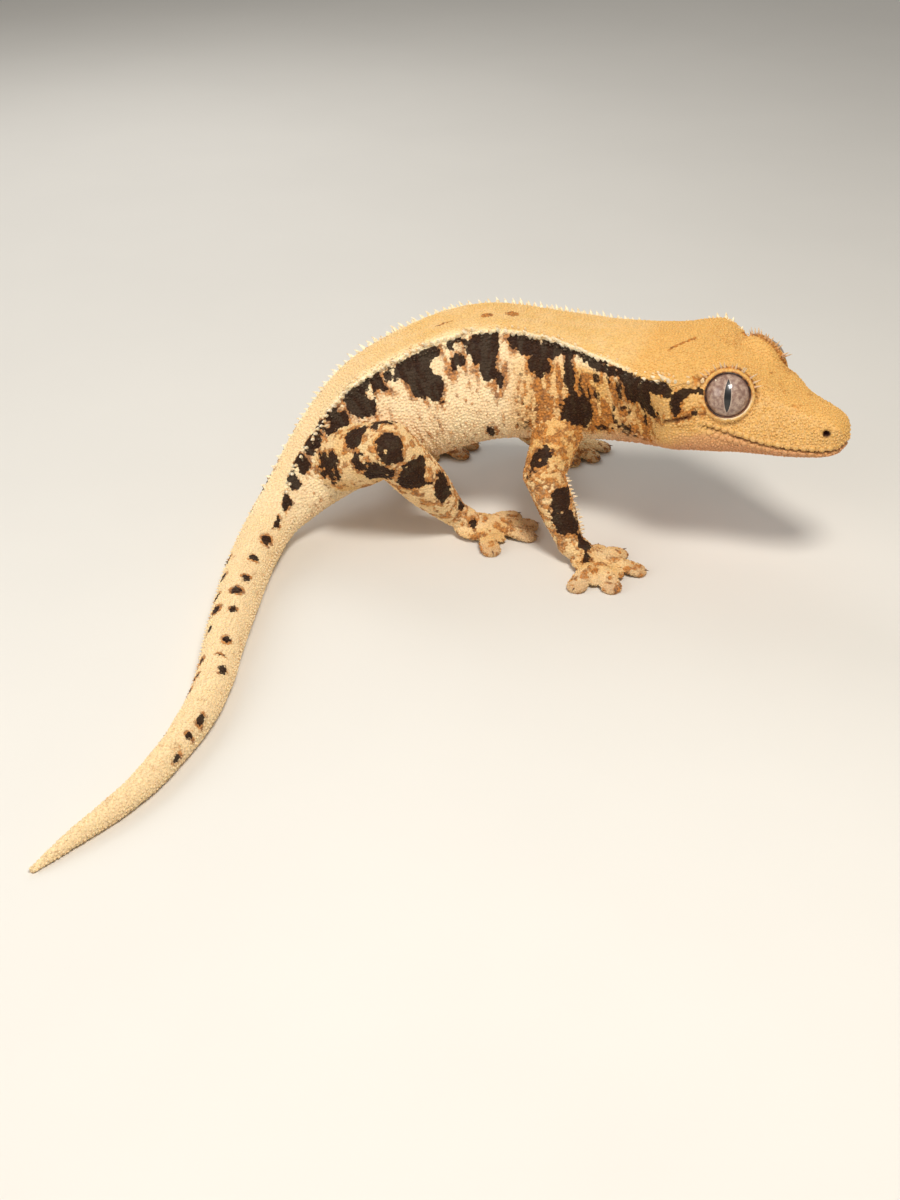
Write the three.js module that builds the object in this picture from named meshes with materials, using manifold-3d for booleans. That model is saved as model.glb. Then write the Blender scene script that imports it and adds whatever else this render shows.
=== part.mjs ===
// Crested gecko, life size, standing still with its head turned and its tail laid on the floor
// Millimetres, +Z up, floor at Z = 0, head towards +X. Angles in degrees.
import * as THREE from 'three';
import { mergeVertices } from 'three/addons/utils/BufferGeometryUtils.js';
import Module from 'manifold-3d';

const wasm = await Module();
wasm.setup();

// Driving sizes
const GAP = 0.3;                 // between pieces that touch
const TAIL_START = 113;          // along the spine from the snout, where the tail begins
const TAIL_ROOT_RADIUS = 4.1;
const TAIL_TIP_RADIUS = 0.5;
const TAIL_TAPER = 0.6;          // exponent: a full tail that narrows late
const SPINE_PITCH = 1.3;         // between the crest's spines
const SPINE_LENGTH = 1.45;
const SPINE_RADIUS = 0.42;
const SPINE_SIDES = 4;
const SPINE_SUNK = 0.5;          // depth of each spine's root
const CREST_START = 21;          // along the spine, behind the eye
const CREST_END = 106;           // at the root of the tail
const HEAD_ROLL = 4;             // degrees, crown towards the animal's right
const ROLL_FROM = 26;            // along the spine: whole roll up to here
const ROLL_TO = 44;              // and none from here on
const LASHES = 8;                // over each eye
const LASH_FAN = [-62, 50];      // degrees from straight up, back to front
const LASH_LENGTH = 1.7;
const LASH_RADIUS = 0.32;
const LASH_FORWARD = 2.1;        // along the eye's axis
const BROW_SIZE = [4.6, 2.2, 2.5]; // half length, height and thickness
const BROW_UP = 2.7;
const EYE_AT = 19.6;             // along the spine from the snout
const EYE_RADIUS = 4.3;
const EYE_OPENING = 3.7;         // radius of the round lid opening
const EYE_SIDE = 6.4;            // eyeball's centre from the middle of the head
const EYE_UP = 3.3;
const EYE_AXIS = { side: 0.86, forward: 0.34, up: 0.38 };
const LID_THICKNESS = 0.55;
const LIP_LINE = [[0.9, 2.45], [8, 2.42], [15, 2.25], [21.5, 1.97]]; // along the spine, round the section
const LIP_GAP = 0.42;            // radius of the groove between the lips
const NOSTRIL = { s: 4.2, v: 1.45, radius: 0.62, depth: 1.2 };
const EAR = { from: [23.8, 1.82], to: [28.2, 1.9], radius: 0.55 }; // slit behind the mouth's corner
const BODY_SIDES = 22;
const TAIL_SIDES = 14;

// Middle line of the body from the snout's tip to the tail's tip, as it stands
const MIDDLE_LINE = [
  [65.2, -22.6, 26.2],   // snout
  [58.8, -18.8, 27.6],
  [50.0, -12.8, 29.5],   // between the eyes
  [40.8, -7.2, 30.0],    // back of the head
  [30.6, -2.4, 28.8],    // neck
  [19.4, 1.4, 27.0],     // shoulders
  [5.3, 2.8, 26.8],      // middle of the trunk
  [-8.8, 0.8, 21.8],
  [-21.0, -2.8, 13.8],   // hips
  [-29.6, -9.6, 6.9],    // root of the tail
  [-33.6, -22.0, 3.65],
  [-35.4, -42.0, 3.15],
  [-37.0, -64.0, 2.5],
  [-43.4, -82.6, 1.8],
  [-52.2, -95.0, 1.0],
  [-55.6, -99.4, 0.4],   // tip of the tail
].map((p) => new THREE.Vector3(...p));

// Half sections across the middle line: s from the snout, then the height of the top, the crest,
// the side and the lower corner as (across, up), and the height of the bottom
const SECTIONS = [
  { s: 0.0, top: 0.4, crest: [0.1, 0.3], side: [0.15, 0.0], low: [0.1, -0.3], bottom: -0.4 },
  { s: 0.7, top: 2.3, crest: [1.6, 1.8], side: [2.1, -0.4], low: [1.8, -1.8], bottom: -2.4 },
  { s: 2.2, top: 3.5, crest: [2.5, 2.9], side: [3.4, -0.5], low: [3.1, -2.6], bottom: -3.5 },
  { s: 5.0, top: 4.1, crest: [3.0, 3.4], side: [4.7, -0.6], low: [4.3, -3.4], bottom: -4.7 },
  { s: 9.0, top: 4.4, crest: [3.6, 3.7], side: [6.2, -0.8], low: [5.7, -4.4], bottom: -6.3 },
  { s: 14.0, top: 5.5, crest: [5.4, 5.0], side: [8.2, -0.9], low: [7.4, -5.4], bottom: -7.9 },
  { s: 19.0, top: 6.7, crest: [7.6, 5.9], side: [10.4, -1.2], low: [9.2, -6.2], bottom: -9.2 },
  { s: 24.0, top: 7.6, crest: [10.0, 5.8], side: [12.2, -1.8], low: [10.3, -6.9], bottom: -10.5 },
  { s: 28.0, top: 8.4, crest: [12.6, 6.1], side: [12.4, -2.2], low: [10.0, -7.8], bottom: -11.4 },
  { s: 33.0, top: 8.8, crest: [11.4, 5.2], side: [10.6, -1.8], low: [8.4, -8.5], bottom: -11.9 },
  { s: 42.0, top: 9.0, crest: [8.6, 6.6], side: [9.4, -1.2], low: [6.9, -8.4], bottom: -11.4 },
  { s: 52.5, top: 10.4, crest: [6.4, 9.3], side: [10.2, -0.8], low: [7.6, -8.0], bottom: -10.8 },
  { s: 67.0, top: 11.3, crest: [6.0, 10.3], side: [11.0, -0.6], low: [8.2, -8.6], bottom: -11.4 },
  { s: 82.0, top: 10.8, crest: [5.0, 10.2], side: [10.0, -0.2], low: [7.4, -8.0], bottom: -10.8 },
  { s: 97.0, top: 7.8, crest: [3.2, 7.4], side: [7.6, 0.0], low: [5.6, -5.6], bottom: -7.6 },
  { s: 106.0, top: 5.4, crest: [2.4, 5.1], side: [5.5, 0.0], low: [4.2, -4.1], bottom: -5.4 },
];

// Lengths of the body, each a node of its own
const HEAD = [0, 33];
const TRUNK = [['neck', 33, 47], ['chest', 47, 70], ['abdomen', 70, 94], ['pelvis', 94, TAIL_START]];
const TAIL_JOINTS = [TAIL_START, 137, 161, 185];

// Legs: the joint's places, radii from root to end, the sole, and each toe's bearing and length
const LEGS = [
  {
    names: ['upper_arm_right', 'forearm_right', 'hand_right'],
    joints: [[20.0, -3.5, 22.5], [16.2, -12.2, 14.6], [21.0, -16.6, 3.4]],
    upper: [5.0, 4.2, 3.6], lower: [3.6, 3.2, 2.3],
    palm: [25.0, -19.4], palmSize: [4.2, 3.7, 1.5],
    toes: [[80, 7.2], [42, 7.9], [-14, 9.2], [-72, 9.4], [-116, 9.6]],
  },
  {
    names: ['upper_arm_left', 'forearm_left', 'hand_left'],
    joints: [[18.0, 6.0, 22.5], [10.0, 17.0, 15.0], [18.5, 23.5, 3.4]],
    upper: [5.0, 4.2, 3.6], lower: [3.6, 3.2, 2.3],
    palm: [22.6, 26.0], palmSize: [4.2, 3.7, 1.5],
    toes: [[-80, 7.2], [-35, 7.9], [5, 9.2], [50, 9.4], [104, 9.4]],
  },
  {
    names: ['thigh_right', 'shank_right', 'foot_right'],
    joints: [[-22.0, -4.0, 12.6], [-10.5, -13.4, 20.4], [0.6, -7.0, 4.4]],
    upper: [5.8, 5.7, 4.6], lower: [4.6, 4.2, 2.5],
    palm: [5.4, -7.0], palmSize: [4.8, 4.1, 1.6],
    toes: [[104, 6.4], [40, 9.6], [12, 10.8], [-14, 10.4], [-76, 9.0]],
  },
  {
    names: ['thigh_left', 'shank_left', 'foot_left'],
    joints: [[-21.0, 1.5, 12.6], [-10.5, 15.0, 16.6], [-9.5, 25.0, 4.4]],
    upper: [5.8, 5.7, 4.6], lower: [4.6, 4.2, 2.5],
    palm: [-5.0, 27.0], palmSize: [4.8, 4.1, 1.6],
    toes: [[-75, 6.4], [-25, 9.6], [5, 10.8], [35, 10.4], [95, 9.0]],
  },
];
const TOE_WIDTHS = [1.7, 1.35, 1.2, 1.6, 1.8];    // half widths from palm to pad
const TOE_FLATNESS = [0.8, 0.85, 0.8, 0.55, 0.48]; // height over width
const KNUCKLE_HEIGHT = 1.6;
const PAD_SUNK = 0.12;           // so that each pad rests on a small flat
const CLAW_LENGTH = 1.3;
const CLAW_RADIUS = 0.3;

const COLOURS = {
  cream: 0xeccb98, dark: 0x3a2620, amber: 0xe5a850, pale: 0xf3d9b0, iris: 0x9c8478,
};

// Small tools
const UP = new THREE.Vector3(0, 0, 1);
const radians = THREE.MathUtils.degToRad;

let seed = 7;
function random() {
  seed = (seed * 16807) % 2147483647;
  return seed / 2147483647;
}

// Smooth curve through rising values that never overshoots between them
function track(xs, ys) {
  const h = xs.slice(1).map((x, i) => x - xs[i]);
  const d = h.map((w, i) => (ys[i + 1] - ys[i]) / w);
  const m = ys.map((_, i) => {
    if (i === 0) return d[0];
    if (i === ys.length - 1) return d[i - 1];
    if (d[i - 1] * d[i] <= 0) return 0;
    const a = 2 * h[i] + h[i - 1];
    const b = h[i] + 2 * h[i - 1];
    return (a + b) / (a / d[i - 1] + b / d[i]);
  });
  return (x) => {
    const c = Math.min(Math.max(x, xs[0]), xs[xs.length - 1]);
    let i = 0;
    while (i < h.length - 1 && c > xs[i + 1]) i += 1;
    const t = (c - xs[i]) / h[i];
    const t2 = t * t;
    const t3 = t2 * t;
    return (2 * t3 - 3 * t2 + 1) * ys[i] + (t3 - 2 * t2 + t) * h[i] * m[i]
      + (3 * t2 - 2 * t3) * ys[i + 1] + (t3 - t2) * h[i] * m[i + 1];
  };
}

// The body's surface
const middleLine = new THREE.CatmullRomCurve3(MIDDLE_LINE, false, 'centripetal');
middleLine.arcLengthDivisions = 2000;
const LENGTH = middleLine.getLength();

function tailRadius(s) {
  const u = (s - TAIL_START) / (LENGTH - TAIL_START);
  return TAIL_TIP_RADIUS + (TAIL_ROOT_RADIUS - TAIL_TIP_RADIUS) * (1 - u) ** TAIL_TAPER;
}

function tailSection(s) {
  const r = tailRadius(Math.min(s, LENGTH - 0.01));
  return { s, top: r, crest: [0.7 * r, 0.73 * r], side: [1.03 * r, 0], low: [0.73 * r, -0.72 * r], bottom: -r };
}

const sections = [...SECTIONS];
for (let k = 0; k <= 8; k += 1) sections.push(tailSection(THREE.MathUtils.lerp(TAIL_START + 3, LENGTH, k / 8)));
const along = sections.map((c) => c.s);
const tracks = {
  top: track(along, sections.map((c) => c.top)),
  crestY: track(along, sections.map((c) => c.crest[0])),
  crestZ: track(along, sections.map((c) => c.crest[1])),
  sideY: track(along, sections.map((c) => c.side[0])),
  sideZ: track(along, sections.map((c) => c.side[1])),
  lowY: track(along, sections.map((c) => c.low[0])),
  lowZ: track(along, sections.map((c) => c.low[1])),
  bottom: track(along, sections.map((c) => c.bottom)),
};

// Frame of the section at s: 'right' is the animal's right side, which the head leans to
function frameAt(s) {
  const u = THREE.MathUtils.clamp(s / LENGTH, 0, 1);
  const centre = middleLine.getPointAt(u);
  const back = middleLine.getTangentAt(u);
  const lean = -radians(HEAD_ROLL) * THREE.MathUtils.smoothstep(ROLL_TO - s, 0, ROLL_TO - ROLL_FROM);
  const right = new THREE.Vector3().crossVectors(UP, back).normalize().applyAxisAngle(back, lean);
  const up = new THREE.Vector3().crossVectors(back, right);
  return { centre, back, right, up };
}

// Around the section v runs 0 at the top, 1 on the right crest, 2 on the side, 3 on the lower corner,
// 4 at the bottom, and back up the left side to 8
function surfacePoint(s, v, grow = 0) {
  const top = tracks.top(s);
  const bottom = tracks.bottom(s);
  const half = [
    [tracks.crestY(s), tracks.crestZ(s)], [tracks.sideY(s), tracks.sideZ(s)], [tracks.lowY(s), tracks.lowZ(s)],
  ];
  const keys = [[0, top], ...half, [0, bottom], ...half.slice().reverse().map(([y, z]) => [-y, z])];
  const turn = ((v % 8) + 8) % 8;
  const i = Math.floor(turn);
  const t = turn - i;
  const pick = (k) => keys[(k + 8) % 8];
  const blend = (axis) => {
    const [a, b, c, d] = [pick(i - 1)[axis], pick(i)[axis], pick(i + 1)[axis], pick(i + 2)[axis]];
    return 0.5 * (2 * b + (c - a) * t + (2 * a - 5 * b + 4 * c - d) * t * t + (3 * b - a - 3 * c + d) * t ** 3);
  };
  const across = blend(0);
  const height = blend(1);
  const swell = 1 + grow / Math.max(Math.hypot(across, height), 0.5);
  const { centre, right, up } = frameAt(s);
  return centre.addScaledVector(right, across * swell).addScaledVector(up, height * swell);
}

// Outward direction of the surface
function surfaceNormal(s, v) {
  const step = 0.25;
  const a = surfacePoint(s + step, v).sub(surfacePoint(s - step, v));
  const b = surfacePoint(s, v + step / 2).sub(surfacePoint(s, v - step / 2));
  const normal = new THREE.Vector3().crossVectors(b, a).normalize();
  const outward = surfacePoint(s, v).sub(frameAt(s).centre);
  return normal.dot(outward) < 0 ? normal.negate() : normal;
}

// Solids and meshes
function toSolid(geometry) {
  const bare = geometry.clone();
  bare.deleteAttribute('normal');
  bare.deleteAttribute('uv');
  const merged = mergeVertices(bare, 1e-4);
  const mesh = new wasm.Mesh({
    numProp: 3,
    vertProperties: new Float32Array(merged.attributes.position.array),
    triVerts: new Uint32Array(merged.index.array),
  });
  const solid = new wasm.Manifold(mesh);
  return solid.volume() < 0 ? toSolid(flipped(merged)) : solid;
}

function flipped(geometry) {
  const index = geometry.index.array;
  for (let i = 0; i < index.length; i += 3) [index[i], index[i + 1]] = [index[i + 1], index[i]];
  return geometry;
}

function largest(solid) {
  const pieces = solid.decompose();
  return pieces.reduce((best, piece) => (piece.volume() > best.volume() ? piece : best));
}

function union(solids) {
  return wasm.Manifold.union(solids);
}

function toGeometry(solid) {
  const { vertProperties, triVerts } = solid.getMesh();
  const geometry = new THREE.BufferGeometry();
  geometry.setAttribute('position', new THREE.BufferAttribute(new Float32Array(vertProperties), 3));
  geometry.setIndex(new THREE.BufferAttribute(new Uint32Array(triVerts), 1));
  geometry.computeVertexNormals();
  return geometry;
}

// Moves every vertex of a geometry to the place that a function gives
function mapped(geometry, place) {
  const position = geometry.attributes.position;
  const p = new THREE.Vector3();
  for (let i = 0; i < position.count; i += 1) {
    p.fromBufferAttribute(position, i);
    position.setXYZ(i, ...place(p).toArray());
  }
  return geometry;
}

// Length of the body between two sections, closed by flat ends
function bodyLength(s0, s1, rings, sides, { grow = 0, crowd = 1 } = {}) {
  const tube = new THREE.CylinderGeometry(1, 1, 1, sides, rings, false);
  return toSolid(mapped(tube, (p) => {
    const s = s0 + (s1 - s0) * (p.y + 0.5) ** crowd;
    if (Math.hypot(p.x, p.z) < 0.5) return frameAt(s).centre;
    return surfacePoint(s, (Math.atan2(p.x, p.z) / Math.PI) * 4, grow);
  }));
}

// Round-ended tube through points, with radii and flatness, height over width, that change along it
function limb(points, radii, { sides = 12, rings = 6, capRows = 2, grow = 0, flat = [1, 1] } = {}) {
  const route = new THREE.CatmullRomCurve3(points, false, 'centripetal');
  const radius = track(radii.map((_, i) => i / (radii.length - 1)), radii);
  const flatness = track(flat.map((_, i) => i / (flat.length - 1)), flat);
  const rows = rings + 2 * capRows;
  const start = radii[0] + grow;
  const end = radii[radii.length - 1] + grow;
  const ball = new THREE.SphereGeometry(1, sides, rows);
  return toSolid(mapped(ball, (p) => {
    const row = Math.round((Math.acos(THREE.MathUtils.clamp(p.y, -1, 1)) / Math.PI) * rows);
    const run = (row - capRows) / rings;
    const u = THREE.MathUtils.clamp(run, 0, 1);
    const capTurn = (Math.abs(run - u) * rings / capRows) * Math.PI / 2;
    const capRadius = run < 0 ? start : end;
    const beyond = Math.sign(run - u) * capRadius * Math.sin(capTurn);
    const r = run === u ? radius(u) + grow : capRadius * Math.cos(capTurn);
    const centre = route.getPointAt(u);
    const ahead = route.getTangentAt(u);
    const across = new THREE.Vector3().crossVectors(UP, ahead).normalize();
    const up = new THREE.Vector3().crossVectors(ahead, across);
    const turn = Math.atan2(p.z, p.x);
    return centre.addScaledVector(ahead, beyond)
      .addScaledVector(across, r * Math.cos(turn)).addScaledVector(up, r * flatness(u) * Math.sin(turn));
  }));
}

function cone(root, direction, length, radius, sides = SPINE_SIDES) {
  const shape = new THREE.ConeGeometry(radius, length, sides, 1);
  shape.translate(0, length / 2, 0);
  shape.applyQuaternion(new THREE.Quaternion().setFromUnitVectors(new THREE.Vector3(0, 1, 0), direction));
  shape.translate(root.x, root.y, root.z);
  return toSolid(shape);
}

function ball(centre, radius, sides = 16, rows = 10) {
  const shape = new THREE.SphereGeometry(radius, sides, rows);
  shape.translate(centre.x, centre.y, centre.z);
  return toSolid(shape);
}

// Flattened ball with its long way at a bearing on the floor
function lobe(centre, size, bearing, sides = 12, rows = 8) {
  const shape = new THREE.SphereGeometry(1, sides, rows);
  shape.rotateX(Math.PI / 2);
  shape.scale(...size);
  shape.rotateZ(bearing);
  shape.translate(centre.x, centre.y, centre.z);
  return toSolid(shape);
}

const parts = new THREE.Group();

function addNode(name, solid, colour, roughness = 0.62) {
  const material = new THREE.MeshStandardMaterial({ color: colour, roughness, metalness: 0 });
  const mesh = new THREE.Mesh(toGeometry(largest(solid)), material);
  mesh.name = name;
  parts.add(mesh);
}

// Keeps what lies between the sections at s0 and s1, less half a gap at each end
function between(solid, s0, s1) {
  let kept = solid;
  if (s0 > 0) {
    const { centre, back } = frameAt(s0 + GAP / 2);
    kept = kept.trimByPlane(back.toArray(), centre.dot(back));
  }
  if (s1 < LENGTH) {
    const { centre, back } = frameAt(s1 - GAP / 2);
    kept = kept.trimByPlane(back.clone().negate().toArray(), -centre.dot(back));
  }
  return kept;
}

function aboveFloor(solid) {
  return solid.trimByPlane([0, 0, 1], 0);
}

// Row of spines along both crests, smaller towards its ends
function crestSpines(s0, s1) {
  const spines = [];
  const from = Math.max(s0, CREST_START);
  const to = Math.min(s1, CREST_END);
  for (let s = CREST_START; s < CREST_END; s += SPINE_PITCH) {
    for (const side of [1, -1]) {
      const vary = 0.85 + 0.3 * random();
      if (s < from || s > to) continue;
      const fade = Math.min(1, 0.45 + (s - CREST_START) / 12, 0.35 + (CREST_END - s) / 20);
      const root = surfacePoint(s, side);
      const { back, up } = frameAt(s);
      const direction = surfaceNormal(s, side).addScaledVector(up, 0.55).addScaledVector(back, 0.5).normalize();
      const length = SPINE_LENGTH * vary * fade + SPINE_SUNK;
      const radius = SPINE_RADIUS * (0.6 + 0.4 * fade);
      spines.push(cone(root.addScaledVector(direction, -SPINE_SUNK), direction, length, radius));
    }
  }
  return spines;
}

// Eyes: the eyeball's middle, its axis, and the ways over and forward across that axis
function eyeFrame(side) {
  const { centre, back, right, up } = frameAt(EYE_AT);
  const middle = centre.clone().addScaledVector(right, side * EYE_SIDE).addScaledVector(up, EYE_UP);
  const axis = new THREE.Vector3().addScaledVector(right, side * EYE_AXIS.side)
    .addScaledVector(back, -EYE_AXIS.forward).addScaledVector(up, EYE_AXIS.up).normalize();
  const over = up.clone().addScaledVector(axis, -up.dot(axis)).normalize();
  const forward = new THREE.Vector3().crossVectors(over, axis);
  if (forward.dot(back) > 0) forward.negate();
  return { middle, axis, over, forward };
}

function lidRing(side) {
  const { middle, axis } = eyeFrame(side);
  const ring = new THREE.TorusGeometry(EYE_OPENING + 0.35, LID_THICKNESS, 6, 20);
  ring.applyQuaternion(new THREE.Quaternion().setFromUnitVectors(UP, axis));
  const depth = Math.sqrt(EYE_RADIUS ** 2 - EYE_OPENING ** 2);
  const at = middle.clone().addScaledVector(axis, depth - 0.1);
  ring.translate(at.x, at.y, at.z);
  return toSolid(ring);
}

// Brow that swells over the eye, with its lashes
function brow(side) {
  const { middle, axis, over, forward } = eyeFrame(side);
  const swelling = new THREE.SphereGeometry(1, 10, 6);
  const [halfLength, halfHeight, halfThickness] = BROW_SIZE;
  swelling.applyMatrix4(new THREE.Matrix4().makeBasis(
    forward.clone().multiplyScalar(halfLength),
    over.clone().multiplyScalar(halfHeight),
    axis.clone().multiplyScalar(halfThickness),
  ));
  const at = middle.clone().addScaledVector(over, BROW_UP).addScaledVector(axis, 0.4);
  swelling.translate(at.x, at.y, at.z);
  const pieces = [toSolid(swelling)];
  for (let k = 0; k < LASHES; k += 1) {
    const turn = radians(THREE.MathUtils.lerp(...LASH_FAN, k / (LASHES - 1)));
    const outward = over.clone().multiplyScalar(Math.cos(turn)).addScaledVector(forward, Math.sin(turn));
    const length = LASH_LENGTH * (0.8 + 0.3 * random()) + GAP;
    const direction = outward.clone().addScaledVector(axis, 0.35).normalize();
    const root = middle.clone().addScaledVector(outward, EYE_OPENING + 0.55)
      .addScaledVector(axis, LASH_FORWARD).addScaledVector(direction, -GAP);
    pieces.push(cone(root, direction, length, LASH_RADIUS));
  }
  return pieces;
}

// Groove of the closed mouth, from corner to corner round the snout
function mouthLine() {
  const round = track(LIP_LINE.map(([s]) => s), LIP_LINE.map(([, v]) => v));
  const [front] = LIP_LINE[0];
  const corner = LIP_LINE[LIP_LINE.length - 1][0];
  const steps = 10;
  const half = (side) => Array.from({ length: steps }, (_, k) => {
    const s = front + (corner - front) * (k / (steps - 1)) ** 1.3;
    return surfacePoint(s, side * round(s));
  });
  const right = half(1);
  const left = half(-1);
  const tip = right[0].clone().lerp(left[0], 0.5).addScaledVector(frameAt(front).back, -0.7);
  const points = [...right.reverse(), tip, ...left];
  return limb(points, [LIP_GAP, LIP_GAP], { sides: 4, rings: 24 });
}

function nostril(side) {
  const normal = surfaceNormal(NOSTRIL.s, side * NOSTRIL.v);
  const rim = surfacePoint(NOSTRIL.s, side * NOSTRIL.v).addScaledVector(normal, LIP_GAP);
  return cone(rim, normal.negate(), NOSTRIL.depth + LIP_GAP, NOSTRIL.radius, 8);
}

function earSlit(side) {
  const ends = [EAR.from, EAR.to].map(([s, v]) => surfacePoint(s, side * v));
  return limb(ends, [EAR.radius, EAR.radius], { sides: 6, rings: 2 });
}

function head() {
  const [s0, s1] = HEAD;
  const solids = [bodyLength(s0, s1 + 1, 20, BODY_SIDES, { crowd: 1.35 }), ...crestSpines(s0, s1 + 1)];
  const cuts = [mouthLine()];
  for (const side of [1, -1]) {
    solids.push(lidRing(side), ...brow(side));
    cuts.push(ball(eyeFrame(side).middle, EYE_RADIUS + GAP), nostril(side), earSlit(side));
  }
  return between(union(solids).subtract(union(cuts)), s0, s1);
}

addNode('head', head(), COLOURS.amber);
for (const [name, side] of [['eye_right', 1], ['eye_left', -1]]) {
  const { middle, axis } = eyeFrame(side);
  const eyeball = new THREE.SphereGeometry(EYE_RADIUS, 20, 14);
  eyeball.rotateX(Math.PI / 2);
  eyeball.applyQuaternion(new THREE.Quaternion().setFromUnitVectors(UP, axis));
  eyeball.translate(middle.x, middle.y, middle.z);
  addNode(name, toSolid(eyeball), COLOURS.iris, 0.12);
}

for (const [name, s0, s1] of TRUNK) {
  const rings = Math.round((s1 - s0) / 1.9) + 1;
  const solid = union([bodyLength(s0 - 1, s1 + 1, rings, BODY_SIDES), ...crestSpines(s0 - 1, s1 + 1)]);
  addNode(name, aboveFloor(between(solid, s0, s1)), name === 'pelvis' ? COLOURS.dark : COLOURS.cream);
}

TAIL_JOINTS.forEach((s0, k) => {
  const s1 = k + 1 < TAIL_JOINTS.length ? TAIL_JOINTS[k + 1] : LENGTH;
  const end = Math.min(s1 + 1, LENGTH);
  const solid = bodyLength(s0 - 1, end, 9, TAIL_SIDES);
  addNode(`tail_${k + 1}`, aboveFloor(between(solid, s0, s1)), COLOURS.pale);
});

// The trunk a gap larger, which each leg's root is cut back to
const trunkGrown = bodyLength(HEAD[1], TAIL_START + 10, 50, BODY_SIDES, { grow: GAP });

function legNodes({ names, joints, upper, lower, palm, palmSize, toes }) {
  const [root, bend, end] = joints.map((p) => new THREE.Vector3(...p));
  const midUpper = root.clone().lerp(bend, 0.5);
  const midLower = bend.clone().lerp(end, 0.5);
  const upperLimb = (grow) => limb([root, midUpper, bend], upper, { grow });
  const lowerLimb = (grow) => limb([bend, midLower, end], lower, { grow });
  const [upperName, lowerName, solesName] = names;
  addNode(upperName, aboveFloor(upperLimb(0).subtract(trunkGrown)), COLOURS.cream);
  addNode(lowerName, aboveFloor(lowerLimb(0).subtract(upperLimb(GAP)).subtract(trunkGrown)), COLOURS.dark);

  const middle = new THREE.Vector3(...palm, palmSize[2] - PAD_SUNK);
  const heading = Math.atan2(palm[1] - end.y, palm[0] - end.x);
  const solids = [lobe(middle, palmSize, heading, 12, 6), limb([end, end.clone().lerp(middle, 0.6), middle],
    [2.3, 2.1, 1.4], { sides: 10, rings: 2, capRows: 1 })];
  for (const [bearing, length] of toes) {
    const turn = radians(bearing);
    const way = new THREE.Vector3(Math.cos(turn), Math.sin(turn), 0);
    const ground = new THREE.Vector3(...palm, 0);
    const padWidth = TOE_WIDTHS[TOE_WIDTHS.length - 1];
    const padHeight = padWidth * TOE_FLATNESS[TOE_FLATNESS.length - 1];
    const pad = ground.clone().addScaledVector(way, length - padWidth).setZ(padHeight - PAD_SUNK);
    const knuckle = ground.clone().addScaledVector(way, length * 0.45).setZ(KNUCKLE_HEIGHT);
    solids.push(limb([middle, knuckle, pad], TOE_WIDTHS, { sides: 8, rings: 5, capRows: 2, flat: TOE_FLATNESS }));
    const claw = pad.clone().addScaledVector(way, padWidth * 0.75).setZ(padHeight * 0.95);
    const down = way.clone().addScaledVector(UP, -0.2).normalize();
    solids.push(cone(claw, down, CLAW_LENGTH, CLAW_RADIUS));
  }
  const sole = union(solids).subtract(lowerLimb(GAP));
  addNode(solesName, aboveFloor(sole), COLOURS.pale);
}

LEGS.forEach(legNodes);

// Origin at the middle of the box, on the floor
const box = new THREE.Box3().setFromObject(parts);
parts.position.set(-(box.min.x + box.max.x) / 2, -(box.min.y + box.max.y) / 2, 0);

export default parts;
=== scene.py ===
import math
from functools import reduce
from itertools import product

import bpy
import numpy as np
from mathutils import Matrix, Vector
from mathutils.kdtree import KDTree


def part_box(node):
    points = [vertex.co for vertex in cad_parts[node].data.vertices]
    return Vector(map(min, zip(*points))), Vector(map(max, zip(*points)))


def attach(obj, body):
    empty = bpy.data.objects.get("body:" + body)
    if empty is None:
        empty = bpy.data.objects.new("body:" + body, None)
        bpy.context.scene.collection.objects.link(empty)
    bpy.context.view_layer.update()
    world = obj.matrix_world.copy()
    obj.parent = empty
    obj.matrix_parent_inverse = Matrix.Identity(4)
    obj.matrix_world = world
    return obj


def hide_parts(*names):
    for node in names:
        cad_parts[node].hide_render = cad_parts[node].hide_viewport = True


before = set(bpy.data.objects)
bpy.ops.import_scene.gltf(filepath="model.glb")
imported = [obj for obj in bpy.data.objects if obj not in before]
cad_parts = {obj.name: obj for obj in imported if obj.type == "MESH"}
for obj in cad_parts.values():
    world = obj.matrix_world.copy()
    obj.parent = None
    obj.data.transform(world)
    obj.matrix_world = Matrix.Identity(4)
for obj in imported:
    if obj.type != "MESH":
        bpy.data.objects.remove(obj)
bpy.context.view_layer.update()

# Lengths here are millimetres in the gecko's modelling frame: X to the head end, Y away from the
# camera, Z up from the floor. place() turns them into the row frame in metres.
MM = 0.001
rng = np.random.default_rng(11)

# The gecko's middle line from the snout's tip to the tail's tip
MIDDLE_LINE = np.array([
    (65.2, -22.6, 26.2), (58.8, -18.8, 27.6), (50.0, -12.8, 29.5), (40.8, -7.2, 30.0), (30.6, -2.4, 28.8),
    (19.4, 1.4, 27.0), (5.3, 2.8, 26.8), (-8.8, 0.8, 21.8), (-21.0, -2.8, 13.8), (-29.6, -9.6, 6.9),
    (-33.6, -22.0, 3.65), (-35.4, -42.0, 3.15), (-37.0, -64.0, 2.5), (-43.4, -82.6, 1.8),
    (-52.2, -95.0, 1.0), (-55.6, -99.4, 0.4),
])

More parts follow.
